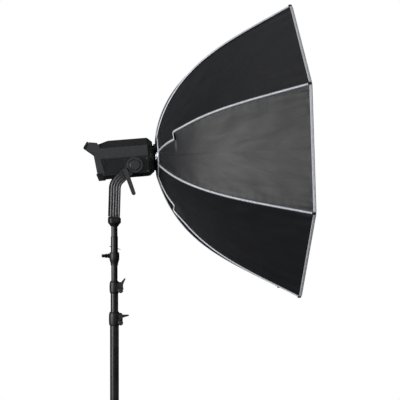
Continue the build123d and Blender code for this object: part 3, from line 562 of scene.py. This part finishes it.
def lens_glass():
    """Clear coated glass with a faint smear in its gloss."""
    recipe = Recipe("coated_glass", (0.93, 0.96, 1.0), 0.04, IOR=1.5, Transmission_Weight=0.92)
    recipe.rough(recipe.noise(18, 4.0), 0.02, 0.09)
    return recipe.material


def led_face():
    """A yellow phosphor disc on a white board, by distance from the light's axis."""
    recipe = Recipe("led_face", (0.82, 0.83, 0.84), 0.45)
    low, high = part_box("cob_led")
    inputs = {"Vector": recipe.node("ShaderNodeTexCoord").outputs["Object"],
              "Location": tuple((low + high) / -2)}
    at = recipe.node("ShaderNodeMapping", inputs).outputs[0]
    reach = recipe.node("ShaderNodeVectorMath", {0: at}, operation="LENGTH").outputs["Value"]
    disc_outer, disc_inner = 0.0185, 0.0178
    recipe.tint(recipe.ramp(reach, disc_outer, disc_inner), (0.86, 0.62, 0.10))
    recipe.bump(recipe.noise(900, 2.0), 0.00008)
    return recipe.material


def glossy(name, colour):
    """Polished plastic or a dark screen, with faint smears."""
    recipe = Recipe(name, colour, 0.12, Specular_IOR_Level=0.6, Coat_Weight=0.4, Coat_Roughness=0.05)
    recipe.rough(recipe.ramp(recipe.noise(30, 5.0), 0.3, 0.75), 0.08, 0.24)
    recipe.shade(recipe.noise(8, 2.0), 0.4)
    return recipe.material


FINISHES = {}


def make_finishes(colours, shape):
    """Fills FINISHES with one material for each kind of surface."""
    FINISHES.update({
        "stand_paint": powder_coat("stand_paint", (0.009, 0.009, 0.010), 0.33),
        "cast_black": powder_coat("cast_black", (0.008, 0.008, 0.009), 0.40, grain=420, relief=0.00007),
        "lever_plastic": moulded("lever_nylon", (0.026, 0.026, 0.028), 0.34, grain=900),
        "screw_metal": machined("blackened_steel", (0.12, 0.12, 0.125), 0.38),
        "foot_rubber": rubber("foot_rubber", (0.016, 0.016, 0.016)),
        "yoke_metal": machined("anodised_extrusion", (0.045, 0.046, 0.049), 0.34, (900, 900, 18), 0.7),
        # the ridges' pale colour, about four times the arms', is a painted highlight along them
        "yoke_ridge": machined("ridge_painted_highlight", (0.20, 0.20, 0.21), 0.36, (300, 300, 300), 0.7),
        "disc_plastic": moulded("disc_nylon", (0.026, 0.027, 0.030), 0.36, grain=1000),
        "case_plastic": moulded("case_black", (0.0105, 0.0115, 0.013), 0.46),
        "cover_plastic": moulded("cover_grey", (0.036, 0.038, 0.043), 0.50, speckle=(0.13, 0.13, 0.14)),
        "grille_plastic": moulded("louvre_black", (0.010, 0.0105, 0.012), 0.50),
        "grip_rubber": rubber("grip_rubber", (0.012, 0.012, 0.013)),
        "panel_gloss": glossy("panel_gloss", (0.008, 0.008, 0.010)),
        "bare_metal": machined("turned_aluminium", (0.66, 0.67, 0.69), 0.26, (500, 500, 500)),
        "ring_black": machined("anodised_ring", (0.020, 0.020, 0.022), 0.36, (700, 700, 700), 0.8),
        "lens_glass": lens_glass(),
        "led_phosphor": led_face(),
        "fan_plastic": moulded("fan_black", (0.016, 0.016, 0.017), 0.40),
        "rod_steel": machined("spring_steel", (0.48, 0.48, 0.50), 0.22, (300, 300, 300)),
        "canopy_cloth": canopy_nylon(colours, shape),
        "lining": silver_lining(colours),
        "piping_cloth": woven_tape("silver_piping", colours.piping, 0.42, metal=0.25),
        # the piping's flange is a grey copy of the silver piping tape: painted shade along the cord's
        # sides
        "piping_edge": woven_tape("piping_painted_shade_edge", (0.15, 0.16, 0.18), 0.5),
        "band_cloth": woven_tape("rim_binding", colours.band, 0.46, twill=260, metal=0.15),
        "black_tape": woven_tape("black_webbing", (0.016, 0.016, 0.018), 0.60),
        "diffuser_cloth": diffusion_cloth(colours),
    })


# ------------------------------------------------------------------ the shape of the canopy
HUB_SLOPE, HUB_PULL = radians(74), 0.300     # the bow's angle to the axis and its Bezier pull at the hub
RIM_SLOPE, RIM_PULL = radians(31), 0.280     # the same at the rim


def bow(count):
    """Depth and radius from hub to rim as one cubic Bezier, with its reach and unit normals."""
    start, end = np.array((HUB_DEPTH, HUB_R)), np.array((RIM_DEPTH, RIM_R))
    pull_out = start + HUB_PULL * np.array((cos(HUB_SLOPE), sin(HUB_SLOPE)))
    pull_in = end - RIM_PULL * np.array((cos(RIM_SLOPE), sin(RIM_SLOPE)))
    curve, reach = evenly(bezier(start, pull_out, pull_in, end, 400), count)
    slope = unit(np.gradient(curve, axis=0))
    return curve, reach, np.stack([-slope[:, 1], slope[:, 0]], axis=-1)


def rise_at(shape, angle, s):
    """The upper ribs bow out further: rise * max(0, sin angle)^1.5 * sin(pi s^0.6)^1.2."""
    top = np.clip(np.sin(angle), 0, 1) ** 1.5
    return shape.rise * top * np.clip(np.sin(pi * s ** 0.6), 0, 1) ** 1.2


def seam_step(shape, number, reach):
    """On a stepped rib the seam dips before the elbow and stands up after it:
    step * tanh(8 x) * exp(-x^2), with x = (reach - elbow) / 45 mm."""
    x = (reach - shape.elbow) / 0.045
    return shape.step * np.tanh(8 * x) * np.exp(-x * x) * (number in STEPPED_RIBS)


def seam_drift(shape, number, reach):
    """The drifting seam runs to one side of its rib as far as the elbow, then comes back within 9 mm:
    drift * (0.62 + 0.38 reach / elbow) * (1 - u^2 (3 - 2u)), with u from 0 to 1 across those 9 mm."""
    u = np.clip((reach - shape.elbow + 0.0045) / 0.009, 0, 1)
    run = 0.62 + 0.38 * np.clip(reach / shape.elbow, 0, 1)
    return shape.drift * run * (1 - u * u * (3 - 2 * u)) * (number == DRIFTING_RIB)


def rib_seam(shape, number, count, stand=0.0):
    """Depth, radius and sideways place along one rib's seam, standing off the cloth by stand."""
    curve, reach, normal = bow(count)
    s = reach / reach[-1]
    lift = rise_at(shape, RIB_ANGLES[number - 1], s) + seam_step(shape, number, reach) + stand
    line = curve + normal * lift[:, None]
    return line[:, 0], line[:, 1], seam_drift(shape, number, reach)


def creases(number, run, s, w):
    """How far the cloth stands out in small folds, in metres, at share s of the way along a rib and
    share w of the way across: puckers next to the seam and longer pulls beside them, both sine waves
    along the reach that fade away from their line as exponentials, and arcs that spread from the rim's
    corner, which grow as s^10. All of them ease to nothing at the sheet's edges and at the rib."""
    away = np.abs(w)
    pucker_height, pucker_length = 0.0007, 0.034
    pull_height, pull_length = 0.0008, 0.115
    arc_height, arc_waves = 0.0026, 9.0 / 2.2
    pucker = pucker_height * np.sin(run * 2 * pi / pucker_length + 1.7 * number + 2.0 * np.sign(w))
    pull = pull_height * np.sin(run * 2 * pi / pull_length + 0.9 * number + 4.5 * away)
    arcs = arc_height * np.sin(arc_waves * 2 * pi * np.sqrt(away + 0.02) + number)
    beside = pucker * np.exp(-away / 0.10) + pull * np.exp(-((away - 0.3) / 0.28) ** 2)
    ends = np.clip((1 - s) / 0.02, 0, 1) * np.clip(s / 0.02, 0, 1)
    ease = ends * np.clip((1 - away) / 0.08, 0, 1) * np.clip(away / 0.03, 0, 1)
    return (beside * np.sin(pi * np.clip(s, 0, 1)) ** 0.5 + arcs * s ** 10 * (1 - away)) * ease


def vane_grid(shape, number, rows, columns=57):
    """One rib's share of the canopy, from mid-gore to mid-gore: its points, uv and normals.

    At share w of the way across, the cloth lies on the chord between two ribs: radial part
    r (1 - f (1 - cos G)) and sideways part f r sin G, with f = |w| / 2 and G the angle between ribs,
    and r the bow moved out by the rise at that angle. The seam's step fades within a quarter of the
    gore, its drift as 1 - |w|. Sag and creases move the cloth along the bow's own normal, the sag by
    sag sin(pi s) |w| (2 - |w|). The edge columns take that normal, so that neighbours shade alike.
    """
    angle = RIB_ANGLES[number - 1]
    curve, reach, flat_normal = bow(rows)
    run = reach[:, None]
    s = run / reach[-1]
    w = np.linspace(-1, 1, columns)[None, :]
    w = np.sign(w) * np.abs(w) ** 1.25
    away = np.abs(w)
    near = np.clip(1 - away / 0.5, 0, 1) ** 2
    lift = rise_at(shape, angle + w * GORE / 2, s) + seam_step(shape, number, run) * near
    depth = curve[:, :1] + flat_normal[:, :1] * lift
    radius = curve[:, 1:] + flat_normal[:, 1:] * lift
    f = away / 2
    sideways = np.sign(w) * f * radius * sin(GORE) + seam_drift(shape, number, run) * (1 - away)
    grid = box_point(angle, depth, radius * (1 - f * (1 - cos(GORE))), sideways)
    around = (angle + w * GORE / 2)[..., None]
    normal = (flat_normal[:, None, :1] * BOX_DIR
              + flat_normal[:, None, 1:] * (np.cos(around) * ACROSS + np.sin(around) * BOX_UP))
    sag = shape.sag * np.sin(pi * s) * away * (2 - away)
    grid = grid + normal * (creases(number, run, s, w) - sag)[..., None]
    across = np.linalg.norm(np.diff(grid, axis=1), axis=-1)
    spread = np.concatenate([np.zeros((rows, 1)), np.cumsum(across, axis=1)], axis=1)
    spread = spread - spread[:, columns // 2][:, None]
    uv = np.stack(np.broadcast_arrays(spread, run), axis=-1)
    shading = grid_normals(grid)
    shading[:, [0, -1]] = normal[:, [0, -1]]
    return grid, uv, shading


def fold_with(piece, number):
    """Rides a rib's body, on a mesh of its own."""
    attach(piece, f"rib_{number}_body")
    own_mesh(piece)


def corner_path(number, radius, count=24, bend=0.012):
    """Half an edge, a corner rounded by a parabola, and half the next edge, in the rim's plane."""
    half = radius * sin(GORE / 2)
    flat = radius * cos(GORE / 2)
    angle = RIB_ANGLES[number - 1]
    t = np.linspace(-1, 1, 2 * count + 1)
    t = np.sign(t) * np.abs(t) ** 1.6
    along = np.abs(t) * half
    rounded = np.where(along < bend, (along * along / bend + bend) / 2, along)
    sideways = np.sign(t) * along * cos(GORE / 2)
    radial = radius - rounded * sin(GORE / 2)
    radial[[0, -1]] = flat * cos(GORE / 2)
    return angle, sideways, radial


# ------------------------------------------------------------------ operators for the cloth parts
class SOFTBOX_OT_canopy(bpy.types.Operator):
    """Make the canopy's cloth, one length on each rib, cut in bands"""

    bl_idname = "softbox.canopy"
    bl_label = "Canopy"

    ROWS = 121
    BANDS = 12
    FULLNESS = 1.05  # a band's fullness against its share

    def execute(self, context):
        shape = context.scene.softbox_shape
        borders = np.linspace(0, self.ROWS - 1, self.BANDS + 1).astype(int)
        for number in range(1, RIBS + 1):
            grid, uv, shading = vane_grid(shape, number, self.ROWS)
            for band, (first, last) in enumerate(zip(borders[:-1], borders[1:]), start=1):
                rows = slice(first, last + 1)
                piece = cloth_sheet(f"canopy_panel_{number}_{band}", grid[rows], shape.cloth,
                                    [FINISHES["canopy_cloth"], FINISHES["lining"]], uv[rows],
                                    inner_material=1, normals=shading[rows])
                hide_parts("canopy")
                fold_with(piece, number)
        return {"FINISHED"}


class SOFTBOX_OT_piping(bpy.types.Operator):
    """Sew silver piping along each rib seam"""

    bl_idname = "softbox.piping"
    bl_label = "Rib piping"

    def execute(self, context):
        shape = context.scene.softbox_shape
        turn = np.linspace(0, pi, 15)
        cord = np.stack([np.cos(turn), np.sin(turn)], axis=-1) * shape.piping
        left = np.array([(-1.3, 0.10), (-1.65, -0.12), (-1.5, -0.42)])
        flange = np.concatenate([left, left[::-1] * (-1, 1)])
        section = np.concatenate([cord, flange * shape.piping])
        # the flange columns take the grey tape: painted shade along the cord's sides
        by_column = np.repeat([0, 1], [len(cord) - 1, len(flange) + 1])
        for number, angle in enumerate(RIB_ANGLES, start=1):
            path = box_point(angle, *rib_seam(shape, number, 220, stand=shape.piping * 0.55))
            piece = swept(f"rib_piping_{number}", path, tangent(angle), section,
                          [FINISHES["piping_cloth"], FINISHES["piping_edge"]], end_scale=0.7,
                          finish_by_column=by_column)
            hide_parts("canopy_piping")
            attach(piece, f"rib_{number}_body")
        return {"FINISHED"}


class SOFTBOX_OT_rim(bpy.types.Operator):
    """Bind the rim with reflective tape, cap its corners and edge the front with webbing"""

    bl_idname = "softbox.rim"
    bl_label = "Rim binding"

    BAND_THICKNESS = 0.0042
    STANDS_OUT = 0.0015             # how far the binding and the tip pockets lie outside the cloth
    POCKET = (0.014, 0.011, 0.0075)
    TAPE = 0.0015

    def execute(self, context):
        shape = context.scene.softbox_shape
        section = oval(shape.band, self.BAND_THICKNESS, power=3.4, count=24)
        for number in range(1, RIBS + 1):
            angle, sideways, radial = corner_path(number, RIM_R + self.STANDS_OUT)
            path = box_point(angle, RIM_DEPTH - shape.band / 2 + 0.004, radial, sideways)
            band = swept(f"rim_band_{number}", path, BOX_DIR, section, [FINISHES["band_cloth"]])
            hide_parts("canopy_piping")
            fold_with(band, number)
            self.lip(shape, number)
            tip = box_point(angle, RIM_DEPTH - 0.004, RIM_R + self.STANDS_OUT)
            axes = (BOX_DIR, tangent(angle), outward(angle))
            pocket = rounded_lump(f"tip_pocket_{number}", tip, axes, self.POCKET, 3.0,
                                  [FINISHES["black_tape"]])
            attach(pocket, f"rib_{number}_body")
        return {"FINISHED"}

    def lip(self, shape, number):
        """A flat strip between two octagons: the corner path at radius R less v times its width."""
        v = np.linspace(0, 1, 5)[:, None]
        angle, outer_side, outer_radial = corner_path(number, RIM_R - 0.001)
        share = 1 - v * shape.lip / RIM_R
        front = DIFFUSER_DEPTHS.max() + 0.0016
        grid = box_point(angle, front, outer_radial[None, :] * share, outer_side[None, :] * share)
        uv = np.stack(np.broadcast_arrays(outer_side[None, :], v * shape.lip), axis=-1)
        piece = cloth_sheet(f"front_lip_{number}", grid, self.TAPE, [FINISHES["black_tape"]], uv)
        fold_with(piece, number)


class SOFTBOX_OT_diffusers(bpy.types.Operator):
    """Stretch the front diffuser and the inner baffle across the softbox"""

    bl_idname = "softbox.diffusers"
    bl_label = "Diffuser and baffle"

    SECTORS = 16
    THICKNESS = 0.0010
    FRONT_INSET, FRONT_SWELL, FRONT_KEEP = 0.0015, 0.0045, 0.12
    BAFFLE_INSET, BAFFLE_SWELL, BAFFLE_KEEP = 0.022, 0.0030, 0.15

    def execute(self, context):
        self.cloths("front_diffuser", DIFFUSER_DEPTHS, DIFFUSER_RADII.max() - self.FRONT_INSET,
                    self.FRONT_SWELL, self.FRONT_KEEP)
        self.cloths("inner_baffle", BAFFLE_DEPTHS, BAFFLE_RADII.max() - self.BAFFLE_INSET,
                    self.BAFFLE_SWELL, self.BAFFLE_KEEP)
        return {"FINISHED"}

    def cloths(self, node, depths, radius, swell, keep, rows=30, columns=25):
        """Sectors of a flat octagon that swells by swell (1 - t^2) towards its middle, t being the
        share of the way from the middle to the edge."""
        depth = depths.max()
        step = 2 * pi / self.SECTORS
        for number in range(1, self.SECTORS + 1):
            middle = step * (number - 0.5)
            t = np.linspace(0.0015, 1, rows)[:, None]
            turn = np.linspace(step / 2, -step / 2, columns)[None, :]
            gore_middle = GORE * np.round((middle + turn) / GORE)
            edge = radius * cos(GORE / 2) / np.cos(middle + turn - gore_middle)
            radial, sideways = t * edge * np.cos(turn), t * edge * np.sin(turn)
            billow = swell * (1 - t ** 2) + 0.0006 * np.sin(14 * t + number) * t * (1 - t)
            grid = box_point(middle, depth - 0.0004 + billow * np.ones_like(turn), radial, sideways)
            uv = np.stack([(grid - BOX_ORIGIN) @ ACROSS, (grid - BOX_ORIGIN) @ BOX_UP], axis=-1)
            piece = cloth_sheet(f"{node}_{number}", grid, self.THICKNESS,
                                [FINISHES["diffuser_cloth"]], uv)
            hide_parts(node)
            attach(piece, "softbox")
            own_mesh(piece)


class SOFTBOX_OT_hub(bpy.types.Operator):
    """Gather the canopy on to the speed ring with an elastic collar and a piped edge"""

    bl_idname = "softbox.hub"
    bl_label = "Hub collar"

    def execute(self, context):
        turn = np.linspace(0, 2 * pi, 96, endpoint=False)
        ring = np.cos(turn)[:, None] * ACROSS + np.sin(turn)[:, None] * BOX_UP
        parts = (("hub_collar", HUB_R - 0.0005, HUB_DEPTH + 0.0035, oval(0.011, 0.0048, 3.0, 20),
                  "black_tape", "canopy_cloth"),
                 ("hub_piping", HUB_R + 0.0015, HUB_DEPTH - 0.0025, oval(0.0062, 0.0062),
                  "piping_cloth", "piping_cloth"))
        for name, radius, depth, section, finish, slot in parts:
            path = BOX_ORIGIN + ring * radius + BOX_DIR * depth
            piece = swept(name, path, BOX_DIR, section, [FINISHES[finish]], closed=True)
            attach(piece, "softbox")
        return {"FINISHED"}


# ------------------------------------------------------------------ operators for the hard parts
MOULDED_EDGES = {
    "housing_near": (0.0016, "case_plastic"), "housing_far": (0.0016, "case_plastic"),
    "front_hood": (0.0018, "case_plastic"), "side_covers": (0.0009, "cover_plastic"),
    "handle_grip": (0.0012, "grip_rubber"), "rear_bumper": (0.0010, "grip_rubber"),
    "yoke_base": (0.0012, "cast_black"), "tilt_lever": (0.0010, "lever_plastic"),
    "column_clamp": (0.0010, "cast_black"), "riser_1_clamp": (0.0010, "cast_black"),
    "column_handle": (0.0010, "lever_plastic"), "riser_1_handle": (0.0010, "lever_plastic"),
    "receiver": (0.0010, "cast_black"), "receiver_handle": (0.0012, "lever_plastic"),
    "rear_panel": (0.0006, "case_plastic"), "bayonet_latch": (0.0010, "bare_metal"),
}


class SOFTBOX_OT_moulded(bpy.types.Operator):
    """Round the edges of the mouldings and castings"""

    bl_idname = "softbox.moulded"
    bl_label = "Moulded parts"

    def execute(self, context):
        for node, (width, finish) in MOULDED_EDGES.items():
            piece = self.rounded(node, width, finish)
            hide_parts(node)
            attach(piece, frame["nodes"][node]["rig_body"])
        return {"FINISHED"}

    MERGE = 0.00002
    FLAT, CREASE, ROUNDED = radians(0.6), radians(32), radians(28)

    def rounded(self, node, width, finish):
        """A merged copy of the CAD node with its flat faces joined and its sharp edges rounded."""
        mesh = frame["nodes"][node].data.copy()
        mesh.name = f"{node}_rounded"
        work = bmesh.new()
        work.from_mesh(mesh)
        bmesh.ops.remove_doubles(work, verts=work.verts, dist=self.MERGE)
        bmesh.ops.dissolve_limit(work, angle_limit=self.FLAT, verts=work.verts, edges=work.edges)
        bmesh.ops.recalc_face_normals(work, faces=work.faces)
        work.to_mesh(mesh)
        work.free()
        mesh.materials.clear()
        mesh.materials.append(FINISHES[finish])
        mesh.polygons.foreach_set("use_smooth", np.ones(len(mesh.polygons), bool))
        mesh.set_sharp_from_angle(angle=self.CREASE)
        piece = bpy.data.objects.new(f"{node}_rounded", mesh)
        bpy.context.scene.collection.objects.link(piece)
        bevel = piece.modifiers.new("Edges", "BEVEL")
        bevel.width = width
        bevel.segments = 2
        bevel.limit_method = "ANGLE"
        bevel.angle_limit = self.ROUNDED
        bevel.use_clamp_overlap = True
        bevel.harden_normals = True
        return piece


PLAIN_FINISHES = {
    "stand_paint": ["base_column", "leg_retainer", "leg_1", "leg_2", "leg_3", "riser_1_tube",
                    "riser_2_tube", "junior_pin"],
    "cast_black": ["base_plug"],
    "screw_metal": ["column_tension_screw", "riser_1_tension_screw", "safety_pin", "housing_screws",
                    "rib_pins", "tilt_bolts"],
    "foot_rubber": ["foot_1", "foot_2", "foot_3"],
    "yoke_metal": ["yoke_arms"],
    "disc_plastic": ["tilt_discs"],
    "grille_plastic": ["side_grilles"],
    "panel_gloss": ["display_window", "dimmer_dial", "power_switch"],
    "bare_metal": ["heat_sink", "cable_socket"],
    "ring_black": ["speed_ring", "bayonet_ring"],
    "lens_glass": ["led_glass"],
    "led_phosphor": ["cob_led"],
    "fan_plastic": ["fan_frame", "fan_rotor"],
    "rod_steel": [f"rib_{number}" for number in range(1, RIBS + 1)],
}


class SOFTBOX_OT_latch(bpy.types.Operator):
    """Fit the polished thumb tab to the sprung latch"""

    bl_idname = "softbox.latch"
    bl_label = "Latch tab"

    def execute(self, context):
        near_side, size = pi, (0.013, 0.033, 0.016)
        latch_middle = np.mean(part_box("bayonet_latch"), axis=0)
        depth = np.dot(latch_middle - BOX_ORIGIN, BOX_DIR) + 0.003
        middle = box_point(near_side, depth, HUB_R - 0.006, -0.006)
        axes = (BOX_DIR, tangent(near_side), outward(near_side))
        tab = rounded_lump("latch_tab", middle, axes, size, 2.6, [FINISHES["bare_metal"]])
        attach(tab, "latch")
        return {"FINISHED"}


class SOFTBOX_OT_yoke_ridges(bpy.types.Operator):
    """Raise the lengthwise ridges of the yoke's extruded arms"""

    bl_idname = "softbox.yoke_ridges"
    bl_label = "Yoke ridges"

    OFFSETS = (-0.0155, -0.0055, 0.0045, 0.0145)
    FOOT_X, BEND, HEAD = -0.002, (0.002, 1.679), (0.058, 1.735)     # corners of the arm's middle line
    BEND_RADIUS = 0.048
    WIDTH, HEIGHT = 0.0026, 0.0048

    def execute(self, context):
        outer_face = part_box("yoke_arms")[1][1]
        base_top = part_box("yoke_base")[1][2]
        for hand, side in (("near", -1), ("far", 1)):
            for number, offset in enumerate(self.OFFSETS, start=1):
                path = self.route(base_top, offset) + side * outer_face * ACROSS
                section = oval(self.WIDTH, self.HEIGHT, 2.6)
                # the ridges take the pale finish: a painted highlight along each ridge
                ridge = swept(f"yoke_ridge_{hand}_{number}", path, ACROSS, section,
                              [FINISHES["yoke_ridge"]], end_scale=0.5)
                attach(ridge, "yoke")
        return {"FINISHED"}

    def route(self, base_top, offset):
        """The arm's middle line moved sideways: a straight rise, an arc of the bend radius less the
        offset, and a straight run at 45 degrees that stops short of the lever."""
        foot, bend, head = np.array((self.FOOT_X, base_top)), np.array(self.BEND), np.array(self.HEAD)
        rise, run = unit(bend - foot), unit(head - bend)
        turn = np.arccos(np.dot(rise, run))
        setback = self.BEND_RADIUS * np.tan(turn / 2)
        right = np.array((rise[1], -rise[0]))
        centre = bend - rise * setback + right * self.BEND_RADIUS
        swing = np.arctan2(-right[1], -right[0]) - np.linspace(0, turn, 24)
        arc = centre + (self.BEND_RADIUS - offset) * np.stack([np.cos(swing), np.sin(swing)], axis=-1)
        first = arc[0] - rise * np.linspace(np.dot(arc[0] - foot, rise) - 0.004, 0.004, 12)[:, None]
        last = arc[-1] + run * np.linspace(0.002, 0.014, 4)[:, None]
        flat = np.concatenate([first, arc, last])
        return np.stack([flat[:, 0], np.zeros(len(flat)), flat[:, 1]], axis=-1)


class SOFTBOX_OT_finishes(bpy.types.Operator):
    """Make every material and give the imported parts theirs"""

    bl_idname = "softbox.finishes"
    bl_label = "Finishes"

    def execute(self, context):
        make_finishes(context.scene.softbox_colours, context.scene.softbox_shape)
        for finish, names in PLAIN_FINISHES.items():
            for name in names:
                node = frame["nodes"][name]
                for slot in node.material_slots:
                    slot.link = "OBJECT"
                    slot.material = FINISHES[finish]
        return {"FINISHED"}


# ------------------------------------------------------------------ the stage
class SOFTBOX_OT_stage(bpy.types.Operator):
    """Set the camera, the floor, the white surround and the soft lights"""

    bl_idname = "softbox.stage"
    bl_label = "Stage"

    LIGHTS = (
        ("key", (-4.8, -2.8, 0.1), 3.4, 275.0),
        ("front", (0.6, -6.2, 0.5), 2.4, 32.0),
        ("overhead", (-0.8, 0.4, 3.4), 1.6, 8.0),
        ("front_fill", (4.4, -1.6, 0.6), 2.2, 60.0),
    )

    def execute(self, context):
        stage = context.scene.softbox_stage
        self.camera(context, stage)
        self.floor(stage)
        self.surround(context, stage)
        middle = Vector(BOX_ORIGIN + BOX_DIR * RIM_DEPTH / 2)
        for name, offset, size, watts in self.LIGHTS:
            self.light(name, middle + Vector(offset), middle, size, watts)
        context.scene.view_settings.view_transform = "Standard"
        return {"FINISHED"}

    def camera(self, context, stage):
        """A level-headed camera by yaw and pitch: it looks along (sin yaw, cos yaw, tan pitch)."""
        data = bpy.data.cameras.new("camera")
        data.lens = stage.lens
        data.sensor_width = 36.0
        data.clip_start, data.clip_end = 0.05, 60.0
        camera = bpy.data.objects.new("camera", data)
        camera.location = Vector(TILT_AXIS) + Vector(stage.camera_offset)
        camera.rotation_euler = (pi / 2 + stage.camera_pitch, 0.0, -stage.camera_yaw)
        context.scene.collection.objects.link(camera)
        context.scene.camera = camera

    def floor(self, stage):
        """A disc of rings, (r cos u, r sin u, 0), closed at the middle by a fan."""
        sides, rings, smallest = stage.floor_sides, 6, 0.3
        turn = np.linspace(0, 2 * pi, sides, endpoint=False)[None, :]
        radius = np.linspace(smallest, stage.floor_radius, rings)[:, None]
        disc = np.stack([radius * np.cos(turn), radius * np.sin(turn), 0 * radius * turn], axis=-1)
        points = np.concatenate([disc.reshape(-1, 3), [(0.0, 0.0, 0.0)]])
        faces = grid_faces(rings, sides, wrap=True).tolist() + fan(np.arange(sides)[::-1], rings * sides)
        recipe = Recipe("floor_paint", (0.85, 0.85, 0.85), 0.7, Emission_Color=(1.0, 1.0, 1.0, 1.0),
                        Emission_Strength=stage.floor_glow)
        recipe.shade(recipe.noise(3.0, 4.0), -0.04)
        recipe.bump(recipe.noise(220, 3.0), 0.0002)
        floor = make_piece("floor", points, faces, [recipe.material])
        floor.visible_diffuse = floor.visible_glossy = False

    def surround(self, context, stage):
        """White where it is seen directly, and a gentle grey light everywhere else."""
        world = bpy.data.worlds.new("surround")
        world.use_nodes = True
        tree = world.node_tree
        tree.nodes.clear()
        path, mix, output = (tree.nodes.new(f"ShaderNode{kind}")
                             for kind in ("LightPath", "MixShader", "OutputWorld"))
        tree.links.new(path.outputs["Is Camera Ray"], mix.inputs[0])
        lit = (stage.ambience, (0.93, 0.96, 1.0, 1))
        seen = (stage.backdrop, (1, 1, 1, 1))
        for socket, (strength, tone) in enumerate((lit, seen), start=1):
            background = tree.nodes.new("ShaderNodeBackground")
            background.inputs["Strength"].default_value = strength
            background.inputs["Color"].default_value = tone
            tree.links.new(background.outputs[0], mix.inputs[socket])
        tree.links.new(mix.outputs[0], output.inputs["Surface"])
        context.scene.world = world

    def light(self, name, place, target, size, watts):
        """A square area light of this size that faces the target."""
        data = bpy.data.lights.new(name, "AREA")
        data.energy = watts
        data.shape = "SQUARE"
        data.size = size
        lamp = bpy.data.objects.new(name, data)
        lamp.location = place
        lamp.rotation_euler = (target - place).to_track_quat("-Z", "Y").to_euler()
        bpy.context.scene.collection.objects.link(lamp)


# ------------------------------------------------------------------ add-on parts and the run
STEPS = (SOFTBOX_OT_finishes, SOFTBOX_OT_moulded, SOFTBOX_OT_canopy, SOFTBOX_OT_piping,
         SOFTBOX_OT_rim, SOFTBOX_OT_diffusers, SOFTBOX_OT_hub, SOFTBOX_OT_latch,
         SOFTBOX_OT_yoke_ridges, SOFTBOX_OT_stage)


class SOFTBOX_PT_sidebar(bpy.types.Panel):
    """Lists the steps that dress the softbox"""

    bl_idname = "SOFTBOX_PT_sidebar"
    bl_label = "Softbox"
    bl_space_type = "VIEW_3D"
    bl_region_type = "UI"
    bl_category = "Softbox"

    def draw(self, context):
        for step in STEPS:
            self.layout.operator(step.bl_idname)


GROUPS = {"softbox_shape": SoftboxShape, "softbox_colours": ClothColours, "softbox_stage": StageSettings}
CLASSES = (*GROUPS.values(), *STEPS, SOFTBOX_PT_sidebar)


def register():
    for cls in CLASSES:
        bpy.utils.register_class(cls)
    for name, group in GROUPS.items():
        setattr(bpy.types.Scene, name, PointerProperty(type=group))


def unregister():
    for name in GROUPS:
        delattr(bpy.types.Scene, name)
    for cls in reversed(CLASSES):
        bpy.utils.unregister_class(cls)


def main():
    register()
    for step in STEPS:
        group, name = step.bl_idname.split(".")
        getattr(getattr(bpy.ops, group), name)()


if __name__ == "__main__":
    main()
